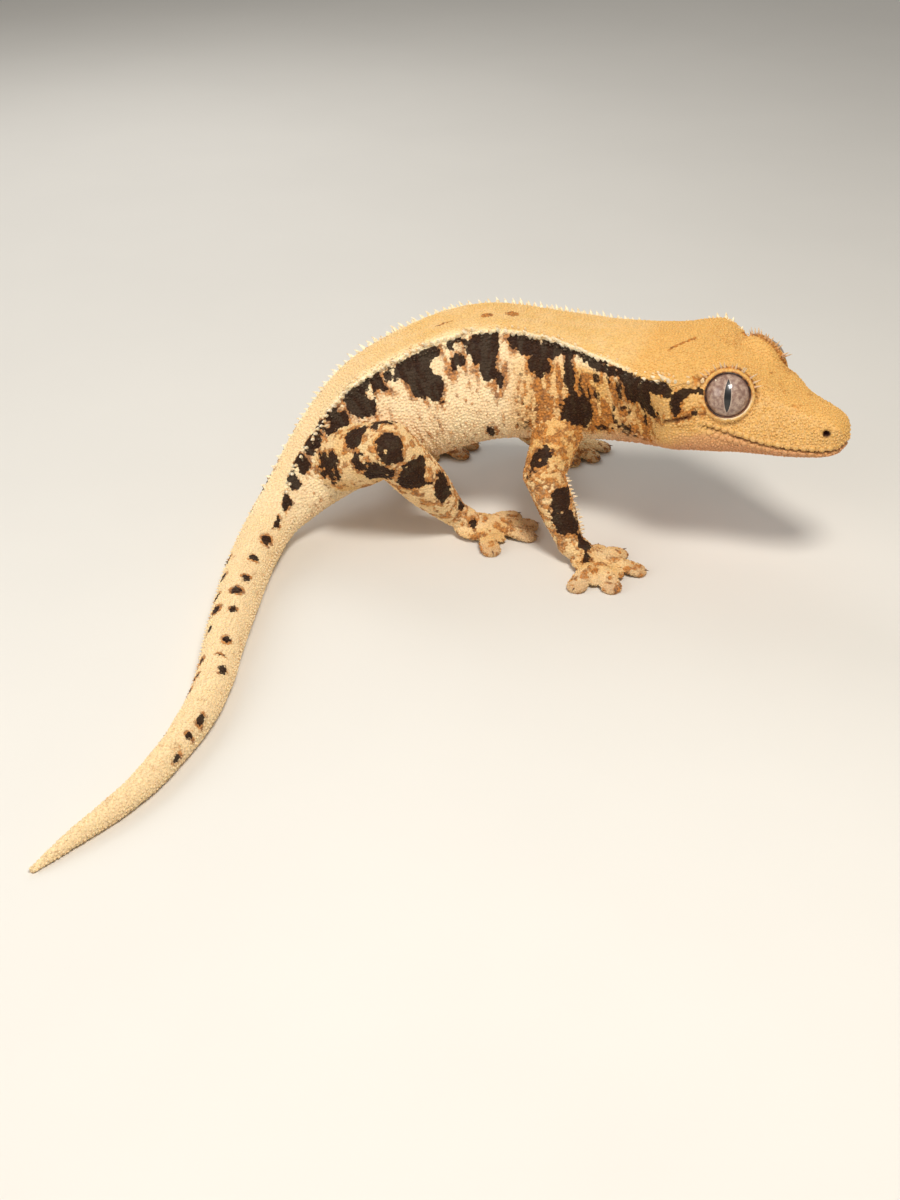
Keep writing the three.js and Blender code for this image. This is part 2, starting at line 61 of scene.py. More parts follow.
# Half sections: s from the snout, top, crest (across, up), side, lower corner, bottom
SECTIONS = [
    (0.0, 0.4, 0.1, 0.3, 0.15, 0.0, 0.1, -0.3, -0.4),
    (0.7, 2.3, 1.6, 1.8, 2.1, -0.4, 1.8, -1.8, -2.4),
    (2.2, 3.5, 2.5, 2.9, 3.4, -0.5, 3.1, -2.6, -3.5),
    (5.0, 4.1, 3.0, 3.4, 4.7, -0.6, 4.3, -3.4, -4.7),
    (9.0, 4.4, 3.6, 3.7, 6.2, -0.8, 5.7, -4.4, -6.3),
    (14.0, 5.5, 5.4, 5.0, 8.2, -0.9, 7.4, -5.4, -7.9),
    (19.0, 6.7, 7.6, 5.9, 10.4, -1.2, 9.2, -6.2, -9.2),
    (24.0, 7.6, 10.0, 5.8, 12.2, -1.8, 10.3, -6.9, -10.5),
    (28.0, 8.4, 12.6, 6.1, 12.4, -2.2, 10.0, -7.8, -11.4),
    (33.0, 8.8, 11.4, 5.2, 10.6, -1.8, 8.4, -8.5, -11.9),
    (42.0, 9.0, 8.6, 6.6, 9.4, -1.2, 6.9, -8.4, -11.4),
    (52.5, 10.4, 6.4, 9.3, 10.2, -0.8, 7.6, -8.0, -10.8),
    (67.0, 11.3, 6.0, 10.3, 11.0, -0.6, 8.2, -8.6, -11.4),
    (82.0, 10.8, 5.0, 10.2, 10.0, -0.2, 7.4, -8.0, -10.8),
    (97.0, 7.8, 3.2, 7.4, 7.6, 0.0, 5.6, -5.6, -7.6),
    (106.0, 5.4, 2.4, 5.1, 5.5, 0.0, 4.2, -4.1, -5.4),
]
TAIL_START = 113.0
TAIL_ROOT_RADIUS = 4.1
TAIL_TIP_RADIUS = 0.5
TAIL_TAPER = 0.6
CREST_START = 21.0
CREST_END = 106.0
HEAD_ROLL = 4.0                    # degrees, the crown towards the animal's right
ROLL_FROM = 26.0
ROLL_TO = 44.0

EYE_AT = 19.6
EYE_RADIUS = 4.3
EYE_OPENING = 3.7
EYE_SIDE = 6.4
EYE_UP = 3.3
EYE_AXIS = (0.86, 0.34, 0.38)      # to the side, forward, up
BROW_SIZE = (4.6, 2.2, 2.5)        # half length, height and thickness
BROW_UP = 2.7

# Each limb: joints, radii of the upper and lower lengths, palm and its size, each toe's bearing and length
ARM = dict(upper=[5.0, 4.2, 3.6], lower=[3.6, 3.2, 2.3], size=(4.2, 3.7, 1.5))
HIND_LEG = dict(upper=[5.8, 5.7, 4.6], lower=[4.6, 4.2, 2.5], size=(4.8, 4.1, 1.6))
LEGS = {
    "arm_right": dict(ARM, joints=[(20.0, -3.5, 22.5), (16.2, -12.2, 14.6), (21.0, -16.6, 3.4)],
                      palm=(25.0, -19.4), toes=[(80, 7.2), (42, 7.9), (-14, 9.2), (-72, 9.4), (-116, 9.6)]),
    "arm_left": dict(ARM, joints=[(18.0, 6.0, 22.5), (10.0, 17.0, 15.0), (18.5, 23.5, 3.4)],
                     palm=(22.6, 26.0), toes=[(-80, 7.2), (-35, 7.9), (5, 9.2), (50, 9.4), (104, 9.4)]),
    "leg_right": dict(HIND_LEG, joints=[(-22.0, -4.0, 12.6), (-10.5, -13.4, 20.4), (0.6, -7.0, 4.4)],
                      palm=(5.4, -7.0), toes=[(104, 6.4), (40, 9.6), (12, 10.8), (-14, 10.4), (-76, 9.0)]),
    "leg_left": dict(HIND_LEG, joints=[(-21.0, 1.5, 12.6), (-10.5, 15.0, 16.6), (-9.5, 25.0, 4.4)],
                     palm=(-5.0, 27.0), toes=[(-75, 6.4), (-25, 9.6), (5, 10.8), (35, 10.4), (95, 9.0)]),
}
TOE_WIDTHS = [1.7, 1.35, 1.2, 1.6, 1.8]
TOE_FLATNESS = [0.8, 0.85, 0.8, 0.55, 0.48]
WRIST_RADII = [2.3, 2.1, 1.4]
KNUCKLE_HEIGHT = 1.6
PAD_SUNK = 0.12
WEB_SIZE = (0.9, 1.5, 0.5)         # share of its reach, half width, half thickness

HEAD_PLACING = (31.0, 36.0)        # where the head's way of placing points gives over to the body's
SKIN_VOXEL = 0.26
SKIN_INSET = 0.12                  # the scales' height, which brings the coat out to the solids
SKIN_LOWEST = 0.02
X, Y, Z = np.eye(3)
SIDES = (1, -1)                    # the animal's right, its left


# Curves and the body's surface

def step(low, high, x):
    """0 at low, 1 at high and smooth between."""
    t = np.clip((x - low) / (high - low), 0, 1)
    return t * t * (3 - 2 * t)


def band(x, low, rise, fall, high):
    """1 from rise to fall, 0 outside low and high."""
    return step(low, rise, x) * step(high, fall, x)


def bell(x, width):
    return np.exp(-((x / width) ** 2))


def most(*masks):
    return reduce(np.maximum, masks)


def unit(v):
    return v / np.linalg.norm(v, axis=-1, keepdims=True)


def track(xs, ys):
    """Smooth curve through values at rising xs that never overshoots between them."""
    xs, ys = np.asarray(xs, float), np.asarray(ys, float)
    h = np.diff(xs)
    d = np.diff(ys) / h
    m = np.zeros_like(ys)
    m[0], m[-1] = d[0], d[-1]
    for i in range(1, len(xs) - 1):
        if d[i - 1] * d[i] > 0:
            a, b = 2 * h[i] + h[i - 1], h[i] + 2 * h[i - 1]
            m[i] = (a + b) / (a / d[i - 1] + b / d[i])

    def at(x):
        x = np.clip(np.asarray(x, float), xs[0], xs[-1])
        i = np.clip(np.searchsorted(xs, x, side="right") - 1, 0, len(h) - 1)
        t = (x - xs[i]) / h[i]
        return ((2 * t**3 - 3 * t**2 + 1) * ys[i] + (t**3 - 2 * t**2 + t) * h[i] * m[i]
                + (3 * t**2 - 2 * t**3) * ys[i + 1] + (t**3 - t**2) * h[i] * m[i + 1])
    return at


class Route:
    """Smooth curve through points, by its length."""

    def __init__(self, points, steps=400):
        p = np.asarray(points, float)
        ends = np.vstack([2 * p[0] - p[1], p, 2 * p[-1] - p[-2]])
        t = np.linspace(0, 1, steps)[:, None]
        pieces = []
        for a, b, c, d in zip(ends, ends[1:], ends[2:], ends[3:]):
            k0, k1, k2 = [max(np.sum((q - r) ** 2) ** 0.25, 1e-4) for q, r in ((a, b), (b, c), (c, d))]
            m1 = ((b - a) / k0 - (c - a) / (k0 + k1) + (c - b) / k1) * k1
            m2 = ((c - b) / k1 - (d - b) / (k1 + k2) + (d - c) / k2) * k1
            pieces.append(b + m1 * t + (3 * (c - b) - 2 * m1 - m2) * t**2 + (2 * (b - c) + m1 + m2) * t**3)
        self.points = np.vstack(pieces)
        self.along = np.concatenate([[0], np.cumsum(np.linalg.norm(np.diff(self.points, axis=0), axis=1))])
        self.length = self.along[-1]

    def at(self, s):
        return np.stack([np.interp(s, self.along, self.points[:, k]) for k in range(3)], -1)

    def frame(self, s):
        """Direction of travel, across and up at s."""
        s = np.asarray(s, float)
        ahead = unit(self.at(np.minimum(s + 0.1, self.length)) - self.at(np.maximum(s - 0.1, 0)))
        across = unit(np.cross((0.0, 0.0, 1.0), ahead))
        return ahead, across, np.cross(ahead, across)


middle = Route(MIDDLE_LINE)
LENGTH = middle.length


def body_frame(s):
    """The middle line's direction, with across and up turned by the head's slight roll."""
    ahead, across, up = middle.frame(s)
    u = np.clip((ROLL_TO - np.asarray(s, float)) / (ROLL_TO - ROLL_FROM), 0, 1)
    roll = math.radians(HEAD_ROLL) * u * u * (3 - 2 * u)
    c, n = np.cos(roll)[..., None], np.sin(roll)[..., None]
    return ahead, across * c - up * n, up * c + across * n


def tail_radius(s):
    u = np.clip((s - TAIL_START) / (LENGTH - TAIL_START), 0, 1)
    return TAIL_TIP_RADIUS + (TAIL_ROOT_RADIUS - TAIL_TIP_RADIUS) * (1 - u) ** TAIL_TAPER


def section_tracks():
    rows = list(SECTIONS)
    for s in np.linspace(TAIL_START + 3, LENGTH, 9):
        r = float(tail_radius(min(s, LENGTH - 0.01)))
        rows.append((s, r, 0.7 * r, 0.73 * r, 1.03 * r, 0, 0.73 * r, -0.72 * r, -r))
    table = np.array(rows)
    return [track(table[:, 0], table[:, k]) for k in range(1, 9)]


TRACKS = section_tracks()


def section(s, v):
    """Across and up in the section at s; v is 0 on top, 1 crest, 2 side, 3 lower corner, 4 bottom."""
    top, cy, cz, wy, wz, ly, lz, bottom = [f(s) for f in TRACKS]
    nil = np.zeros_like(top)
    keys_y = np.stack([nil, cy, wy, ly, nil, -ly, -wy, -cy], -1)
    keys_z = np.stack([top, cz, wz, lz, bottom, lz, wz, cz], -1)
    v = np.mod(v, 8.0)
    i = np.floor(v).astype(int)
    t = v - i

    def blend(keys):
        a, b, c, d = [np.take_along_axis(keys, ((i + k) % 8)[..., None], -1)[..., 0] for k in (-1, 0, 1, 2)]
        bend, twist = 2 * a - 5 * b + 4 * c - d, 3 * b - a - 3 * c + d
        return 0.5 * (2 * b + (c - a) * t + bend * t**2 + twist * t**3)
    return blend(keys_y), blend(keys_z)


def body_point(s, v, out=0.0):
    s, v = np.broadcast_arrays(np.asarray(s, float), np.asarray(v, float))
    y, z = section(s, v)
    swell = 1 + out / np.maximum(np.hypot(y, z), 0.5)
    _, right, up = body_frame(s)
    return middle.at(s) + right * (y * swell)[..., None] + up * (z * swell)[..., None]


def body_normal(s, v):
    a = body_point(s + 0.25, v) - body_point(s - 0.25, v)
    b = body_point(s, np.asarray(v) + 0.1) - body_point(s, np.asarray(v) - 0.1)
    n = unit(np.cross(b, a))
    outward = body_point(s, v) - middle.at(s)
    return np.where(np.sum(n * outward, -1, keepdims=True) < 0, -n, n)


def eye_frame(side):
    """Eyeball's centre, its axis, and up and forward across that axis."""
    back, right, up = body_frame(EYE_AT)
    centre = middle.at(EYE_AT) + right * side * EYE_SIDE + up * EYE_UP
    axis = unit(right * side * EYE_AXIS[0] - back * EYE_AXIS[1] + up * EYE_AXIS[2])
    over = unit(up - axis * (up @ axis))
    forward = np.cross(over, axis)
    return centre, axis, over, forward if forward @ back < 0 else -forward


def eye_angle(points, side):
    """The way from the eyeball's centre to each point, its length and its angle from the axis."""
    centre, axis, _, _ = eye_frame(side)
    d = points - centre
    r = np.linalg.norm(d, axis=1)
    return d, r, np.arccos(np.clip(d @ axis / r, -1, 1))


def middle_of(node):
    low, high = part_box(node)
    return np.array((low + high) / 2) / MM


SHIFT = middle_of("eye_right") - eye_frame(1)[0]


def place(points):
    return (np.asarray(points, float) + SHIFT) * MM


# Meshes

def new_mesh(name, verts, faces, smooth=True):
    mesh = bpy.data.meshes.new(name)
    faces = np.asarray(faces)
    mesh.vertices.add(len(verts))
    mesh.vertices.foreach_set("co", np.asarray(verts, np.float32).ravel())
    mesh.loops.add(faces.size)
    mesh.loops.foreach_set("vertex_index", faces.astype(np.int32).ravel())
    mesh.polygons.add(len(faces))
    mesh.polygons.foreach_set("loop_start", np.arange(0, faces.size, faces.shape[1], dtype=np.int32))
    mesh.update(calc_edges=True)
    mesh.validate()
    mesh.polygons.foreach_set("use_smooth", np.full(len(mesh.polygons), smooth))
    piece = bpy.data.objects.new(name, mesh)
    bpy.context.scene.collection.objects.link(piece)
    return piece


def closed_grid(rings):
    """Closed triangle mesh over rings of points, with a fan at each end."""
    n, m, _ = rings.shape
    i, j = np.meshgrid(np.arange(n - 1), np.arange(m), indexing="ij")
    a, b = (i * m + j).ravel(), (i * m + (j + 1) % m).ravel()
    faces = np.concatenate([np.stack([a, b, b + m], 1), np.stack([a, b + m, a + m], 1)])
    k = np.arange(m)
    first, last = n * m, n * m + 1
    faces = np.concatenate([faces, np.stack([np.full(m, first), (k + 1) % m, k], 1),
                            np.stack([np.full(m, last), (n - 1) * m + k, (n - 1) * m + (k + 1) % m], 1)])
    verts = np.vstack([rings.reshape(-1, 3), rings[0].mean(0), rings[-1].mean(0)])
    return outward(verts, faces)


def outward(verts, faces):
    a, b, c = verts[faces[:, 0]], verts[faces[:, 1]], verts[faces[:, 2]]
    volume = np.sum(a * np.cross(b, c))
    return verts, faces if volume > 0 else faces[:, ::-1]


def join(parts):
    verts, faces, start = [], [], 0
    for v, f in parts:
        verts.append(v)
        faces.append(f + start)
        start += len(v)
    return np.vstack(verts), np.vstack(faces)


def tube(points, radii, flat=(1, 1), rows=40, sides=28, cap_rows=8):
    """Round-ended tube through points whose radius and flatness change along it."""
    route = Route(points, 60)
    u = np.concatenate([np.zeros(cap_rows), np.linspace(0, 1, rows), np.ones(cap_rows)])
    r, flatness = [track(np.linspace(0, 1, len(values)), values)(u)[:, None] for values in (radii, flat)]
    turn = np.linspace(0, math.pi / 2, cap_rows + 1)[:-1, None]
    r[:cap_rows] *= np.sin(turn + 0.04)
    r[-cap_rows:] *= np.sin(turn + 0.04)[::-1]
    beyond = np.concatenate([-radii[0] * np.cos(turn), np.zeros((rows, 1)), radii[-1] * np.cos(turn)[::-1]])
    ahead, across, up = route.frame(u * route.length)
    a = np.linspace(0, 2 * math.pi, sides, endpoint=False)[None]
    return closed_grid((route.at(u * route.length) + ahead * beyond)[:, None]
                       + across[:, None] * (r * np.cos(a))[..., None]
                       + up[:, None] * (r * flatness * np.sin(a))[..., None])


def lobe(centre, lengthways, upward, outwards, rows=24, sides=32):
    """Ellipsoid with its three half axes as vectors."""
    theta = np.linspace(0.02, math.pi - 0.02, rows)[:, None, None]
    phi = np.linspace(0, 2 * math.pi, sides, endpoint=False)[None, :, None]
    girth = np.cos(phi) * upward + np.sin(phi) * outwards
    return closed_grid(centre + np.cos(theta) * lengthways + np.sin(theta) * girth)


# Smooth seeded noise

LATTICE_SIZE = 64
LATTICE = np.random.default_rng(5).random((LATTICE_SIZE,) * 3)


def noise(p, scale, shift=0.0):
    """Smooth value noise from -1 to 1, with features about scale wide."""
    q = np.asarray(p, float) / scale + 17.3 + shift
    i = np.floor(q).astype(int)
    t = step(0, 1, q - i)
    total = 0
    for corner in product((0, 1), repeat=3):
        wx, wy, wz = [t[..., k] if corner[k] else 1 - t[..., k] for k in range(3)]
        x, y, z = [(i[..., k] + corner[k]) % LATTICE_SIZE for k in range(3)]
        total = total + wx * wy * wz * LATTICE[x, y, z]
    return 2 * total - 1


def layered(p, scale, octaves=3, shift=0.0):
    total = sum(noise(p, scale / 2**k, shift + 3.7 * k) / 2**k for k in range(octaves))
    return total / (2 - 0.5 ** (octaves - 1))


# Flesh: closed forms that overlap and are then fused into one skin

def body_form():
    s = np.concatenate([np.linspace(0.03, 8, 70), np.linspace(8, LENGTH - 0.03, 640)[1:]])
    v = np.linspace(-4, 4, 180, endpoint=False)
    return closed_grid(body_point(s[:, None], v[None], -SKIN_INSET))


def leg_forms(leg):
    """A limb's closed forms, and each toe's direction and pad."""
    root, bend, end = [np.array(p) for p in leg["joints"]]
    upper, lower = [[r - SKIN_INSET for r in leg[part]] for part in ("upper", "lower")]
    size = np.array(leg["size"])
    palm = np.array([*leg["palm"], size[2] - PAD_SUNK])
    heading = unit(np.array([palm[0] - end[0], palm[1] - end[1], 0.0]))
    forms = [tube([root, (root + bend) / 2, bend], upper), tube([bend, (bend + end) / 2, end], lower),
             lobe(bend, Z * upper[2], X * upper[2], Y * upper[2]),
             lobe(palm, heading * size[0], np.cross(Z, heading) * size[1], Z * size[2]),
             tube([end, end * 0.4 + palm * 0.6, palm], WRIST_RADII)]
    ground = palm * (1, 1, 0)
    width, height = TOE_WIDTHS[-1], TOE_WIDTHS[-1] * TOE_FLATNESS[-1]
    toes = []
    for bearing, length in leg["toes"]:
        turn = math.radians(bearing)
        way = np.array([math.cos(turn), math.sin(turn), 0.0])
        pad = ground + way * (length - width) + (0, 0, height - PAD_SUNK)
        knuckle = ground + way * length * 0.45 + (0, 0, KNUCKLE_HEIGHT)
        forms.append(tube([palm, knuckle, pad], TOE_WIDTHS, TOE_FLATNESS, rows=36, sides=24))
        toes.append((way, pad, length))
    share, half_width, half_height = WEB_SIZE
    for (way_a, _, length_a), (way_b, _, length_b) in zip(toes, toes[1:]):
        between = unit(way_a + way_b)
        if way_a @ way_b > 0.2:
            reach = 0.5 * min(length_a, length_b) * (0.55 + 0.35 * way_a @ way_b)
            forms.append(lobe(ground + between * reach + (0, 0, 0.9), between * reach * share,
                              np.cross(Z, between) * half_width, Z * half_height, 16, 20))
    return forms, [(way, pad) for way, pad, _ in toes]


def eye_forms(side):
    """The brow, and the flesh round the eyeball."""
    centre, axis, over, forward = eye_frame(side)
    length, height, thickness = np.array(BROW_SIZE) - SKIN_INSET
    return [lobe(centre + over * BROW_UP + axis * 0.4, forward * length, over * height, axis * thickness),
            lobe(centre - axis * 0.6, forward * 4.8, over * 4.8, axis * 3.9)]


def remeshed(verts, faces, voxel):
    """One skin of even quads round forms that overlap."""
    piece = new_mesh("forms", verts, faces)
    fuse = piece.modifiers.new("fuse", "REMESH")
    fuse.mode = "VOXEL"
    fuse.voxel_size = voxel
    fuse.adaptivity = 0
    shape = piece.evaluated_get(bpy.context.evaluated_depsgraph_get()).to_mesh()
    co = np.zeros(len(shape.vertices) * 3, np.float32)
    shape.vertices.foreach_get("co", co)
    corners = np.zeros(len(shape.loops), np.int32)
    shape.loops.foreach_get("vertex_index", corners)
    quads = corners.reshape(-1, 4)
    bpy.data.objects.remove(piece)
    return co.reshape(-1, 3).astype(float), quads


def vertex_normals(verts, quads):
    n = np.cross(verts[quads[:, 2]] - verts[quads[:, 0]], verts[quads[:, 3]] - verts[quads[:, 1]])
    total = np.zeros_like(verts)
    for k in range(4):
        for axis in range(3):
            total[:, axis] += np.bincount(quads[:, k], n[:, axis], len(verts))
    return unit(total + 1e-12)


def smoothed(verts, quads, weight, times):
    """Moves each vertex towards the middle of its neighbours by its weight, several times."""
    a = np.concatenate([quads[:, k] for k in range(4)])
    b = np.concatenate([quads[:, (k + 1) % 4] for k in range(4)])
    a, b = np.concatenate([a, b]), np.concatenate([b, a])
    count = np.bincount(a, minlength=len(verts))
    for _ in range(times):
        mean = np.stack([np.bincount(a, verts[b, k], len(verts)) for k in range(3)], -1) / count[:, None]
        verts = verts + (mean - verts) * weight[:, None]
    return verts


def nearest(samples, points):
    tree = KDTree(len(samples))
    for i, p in enumerate(samples):
        tree.insert(p, i)
    tree.balance()
    found = [tree.find(p)[1:] for p in points]
    return np.array([f[0] for f in found]), np.array([f[1] for f in found])


def body_place(points, s, v):
    """Refines guesses of s and v to where each point lies in its section."""
    for _ in range(2):
        ahead, _, _ = body_frame(s)
        s = np.clip(s + np.sum((points - body_point(s, v)) * ahead, -1), 0.05, LENGTH - 0.05)
        way = body_point(s, v + 0.02) - body_point(s, v - 0.02)
        v = v + 0.04 * np.sum((points - body_point(s, v)) * way, -1) / np.maximum(np.sum(way * way, -1), 1e-6)
    return s, v


def head_place(points, s):
    """s along the middle line and v by the angle round it, which also suits points off the section."""
    for _ in range(6):
        s = np.clip(s + 0.8 * np.sum((points - middle.at(s)) * body_frame(s)[0], -1), 0.05, LENGTH - 0.05)
    _, right, up = body_frame(s)
    d = points - middle.at(s)
    y, z = np.sum(d * right, -1), np.sum(d * up, -1)
    angle = np.arctan2(z, np.abs(y))
    low, high = np.zeros_like(s), np.full_like(s, 4.0)
    for _ in range(12):
        half = (low + high) / 2
        at_y, at_z = section(s, half)
        before = np.arctan2(at_z, at_y) > angle
        low, high = np.where(before, half, low), np.where(before, high, half)
    return s, np.where(y < 0, -1, 1) * (low + high) / 2


def to_line(points, a, b):
    """How far along from a to b each point is, from 0 to 1, and its distance from that line."""
    t = np.clip((points - a) @ (b - a) / ((b - a) @ (b - a)), 0, 1)
    return t, np.linalg.norm(points - a - t[:, None] * (b - a), axis=1)


def leg_along(points, leg):
    """How far along a leg each point is: 0 to 1 upper length, to 2 lower length, then the foot."""
    stops = [np.array(p) for p in leg["joints"]]
    stops.append(np.array([*leg["palm"], 1.3]))
    best = np.full(len(points), 1e9)
    along = np.zeros(len(points))
    for k, (a, b) in enumerate(zip(stops, stops[1:])):
        t, d = to_line(points, a, b)
        closer = d < best
        best[closer] = d[closer]
        along[closer] = (k + t)[closer]
    on_foot = along >= 2.4
    along[on_foot] += np.linalg.norm(points[on_foot] - stops[-1], axis=1) / 12
    return along


class Skin:
    """The fused skin with each vertex's place on the body or a leg."""

    def __init__(self):
        limbs, toes = zip(*[leg_forms(leg) for leg in LEGS.values()])
        self.toes = sum(toes, [])
        forms = [body_form(), *eye_forms(1), *eye_forms(-1), *sum(limbs, [])]
        verts, self.quads = remeshed(*join(forms), SKIN_VOXEL)

        s = np.linspace(0.1, LENGTH - 0.1, 420)
        v = np.linspace(-4, 4, 96, endpoint=False)
        grid_s, grid_v = [g.ravel() for g in np.meshgrid(s, v, indexing="ij")]
        near_body, far_from_body = nearest(body_point(grid_s, grid_v, -SKIN_INSET), verts)
        samples = [np.vstack([part for part, _ in parts]) for parts in limbs]
        near_leg, far_from_leg = nearest(np.vstack(samples), verts)
        leg_ids = np.repeat(np.arange(len(LEGS)), [len(points) for points in samples])
        joint = np.maximum(far_from_body, far_from_leg)
        self.verts = smoothed(verts, self.quads, 0.5 * bell(joint, 1.6) + 0.02, 22)
        self.leg = np.where(far_from_leg < far_from_body - 0.15, leg_ids[near_leg], -1)
        self.s, self.v = body_place(self.verts, grid_s[near_body], grid_v[near_body])
        self.v = (self.v + 4) % 8 - 4
        self.place_head()
        self.t = np.zeros(len(verts))
        for k, leg in enumerate(LEGS.values()):
            mine = self.leg == k
            self.t[mine] = leg_along(self.verts[mine], leg)
        self.normals = vertex_normals(self.verts, self.quads)

    def place_head(self):
        head = (self.leg < 0) & (self.s < HEAD_PLACING[1])
        s, v = head_place(self.verts[head], self.s[head])
        hold = step(HEAD_PLACING[1], HEAD_PLACING[0], self.s[head])
        self.v[head] = np.sign(v) * (np.abs(self.v[head]) * (1 - hold) + np.abs(v) * hold)
        self.s[head] += (s - self.s[head]) * hold

    def push(self, amount):
        """Moves the skin along its normals."""
        self.verts = self.verts + self.normals * amount[:, None]

    def settle(self):
        self.verts[:, 2] = np.maximum(self.verts[:, 2], SKIN_LOWEST)
        self.normals = vertex_normals(self.verts, self.quads)


# The head's carved features

LIP_LINE = ((0.9, 2.48), (8.0, 2.47), (15.0, 2.3), (21.5, 1.99))  # along the middle line, round the section
MOUTH_CORNER = 21.5
NOSTRIL = (3.0, 1.45)
EAR = ((24.0, 1.78), (28.4, 1.92))
HEAD_DASH = ((30.6, 0.42), (28.2, 0.06))
ROUND_TO_MM = 0.57                 # length round the section at the lips, for each millimetre of girth
FOLD_LENGTH = 1.9
LID_WRINKLE = 0.125                # from one wrinkle to the next, as an angle at the eyeball's centre
RIM = math.asin(EYE_OPENING / EYE_RADIUS)
lip_round = track(*zip(*LIP_LINE))


def from_lips(s, v):
    """Distance below the mouth line, on the skin."""
    return (np.abs(v) - lip_round(s)) * np.hypot(*section(s, v)) * ROUND_TO_MM


def from_line(points, side, ends):
    """Distance from the straight line between two places on the body, for points of the bare section."""
    return to_line(points, *[body_point(s, side * v) for s, v in ends])[1]


def from_nostril(points, side):
    return np.linalg.norm(points - body_point(NOSTRIL[0], side * NOSTRIL[1]), axis=1)


def crest_ridge(skin):
    """The ridge that carries each crest's spines."""
    off = (np.abs(skin.v) - 1.0) * np.maximum(np.hypot(*section(skin.s, np.ones_like(skin.s))), 1) * 0.6
    height = band(skin.s, CREST_START - 4, CREST_START + 4, CREST_END - 12, CREST_END + 5)
    skin.push((skin.leg < 0) * 0.34 * height * bell(off, 0.6))


def fold_skin(skin):
    """Loose skin: folds across the neck and flanks, behind the arms and in the groin."""
    body, h = skin.leg < 0, np.abs(skin.v)
    neck = band(skin.s, 29, 34, 45, 53) * step(1.3, 2.2, h)
    flank = band(skin.s, 49, 57, 89, 101) * band(h, 1.4, 2.0, 3.0, 3.6)
    waves = np.sin(2 * math.pi * (skin.s + 1.4 * noise(skin.verts, 7.0)) / FOLD_LENGTH)
    bumps = 0.12 * layered(skin.verts, 4.5, 2) * step(14, 30, skin.s)
    limbs = 0.09 * layered(skin.verts, 2.6, 2, 4.0)
    skin.push(np.where(body, (neck * 0.16 + flank * 0.08) * waves + bumps, limbs))


def carve_eyes(skin):
    """Hollows for the eyeballs, with swollen and wrinkled lids round them."""
    for side in SIDES:
        centre, _, over, _ = eye_frame(side)
        d, r, theta = eye_angle(skin.verts, side)
        near = (skin.leg < 0) & (r < 9) & (theta < RIM + 0.8)
        wrinkles = 0.07 * np.cos(2 * math.pi * (theta - RIM) / LID_WRINKLE) * step(RIM + 0.12, RIM + 0.2, theta)
        lid = EYE_RADIUS + 0.1 + 0.45 * bell(theta - RIM - 0.1, 0.16) + wrinkles * step(2.0, -1.0, d @ over)
        inner = EYE_RADIUS - 0.7
        target = np.where(theta < RIM, inner, lid)
        hold = (1 - step(RIM + 0.16, RIM + 0.6, theta)) * (1 - step(5.6, 8.2, r))
        new_r = np.where(near, r + (target - r) * hold, r)
        new_r = np.where(near & (theta < RIM), np.minimum(r, inner), new_r)
        skin.verts = centre + d * (new_r / r)[:, None]


def carve_head(skin):
    """The mouth line between the lips, and a swollen edge round each nostril and ear opening."""
    head = skin.leg < 0
    across = from_lips(skin.s, skin.v)
    lips = 0.15 * bell(across + 0.62, 0.42) + 0.14 * bell(across - 0.62, 0.42) - 0.45 * bell(across, 0.22)
    amount = head * step(MOUTH_CORNER + 1.5, MOUTH_CORNER - 1, skin.s) * lips
    bare = body_point(skin.s, skin.v)
    holes = [from_nostril(bare, side) for side in SIDES]
    for hole in holes:
        amount += head * (0.16 * bell(hole - 1.0, 0.32) - 1.0 * bell(hole, 0.56))
    for side in SIDES:
        d = from_line(bare, side, EAR)
        amount += head * (0.16 * bell(d - 0.8, 0.3) - 0.6 * bell(d, 0.36))
    skin.hole = np.minimum(*holes)
    skin.push(amount)


# Markings and painted shade, the same for skin, scales and spines. Body patches are (s, v, half length, half
# width in v)

DARK_BODY = [
    (28.4, 1.2, 2.4, 0.13), (25.0, 1.26, 2.6, 0.07), (26.2, 1.46, 0.8, 0.2), (22.7, 1.66, 0.8, 0.09),
    (31.6, 1.17, 3.6, 0.17), (33.4, 1.5, 1.9, 0.32), (31.4, 1.86, 1.3, 0.13), (35.6, 1.4, 2.2, 0.4),
    (40.2, 1.12, 4.2, 0.18), (46.0, 1.08, 4.4, 0.13), (48.2, 1.5, 1.0, 0.32), (47.8, 2.2, 3.0, 0.4),
    (53.0, 1.14, 4.4, 0.17), (55.0, 1.4, 1.7, 0.14), (59.6, 1.12, 3.4, 0.13), (65.4, 1.24, 2.3, 0.2),
    (64.4, 1.5, 1.5, 0.14), (62.9, 1.64, 0.6, 0.12), (70.2, 1.14, 2.2, 0.12), (70.4, 1.36, 1.7, 0.13),
    (74.2, 1.14, 2.6, 0.12), (74.8, 1.5, 1.5, 0.2), (77.8, 1.24, 2.8, 0.2), (77.6, 1.46, 1.1, 0.12),
    (82.6, 1.16, 2.4, 0.17), (87.1, 1.24, 2.6, 0.26), (92.4, 1.26, 2.6, 0.27), (95.6, 1.0, 1.3, 0.2),
    (98.6, 1.08, 1.9, 0.27), (102.6, 1.05, 1.5, 0.28), (106.6, 1.05, 1.5, 0.27), (111.2, 1.0, 1.7, 0.27),
    (116.6, 0.7, 1.3, 0.34), (65.8, 2.72, 0.9, 0.12),
]
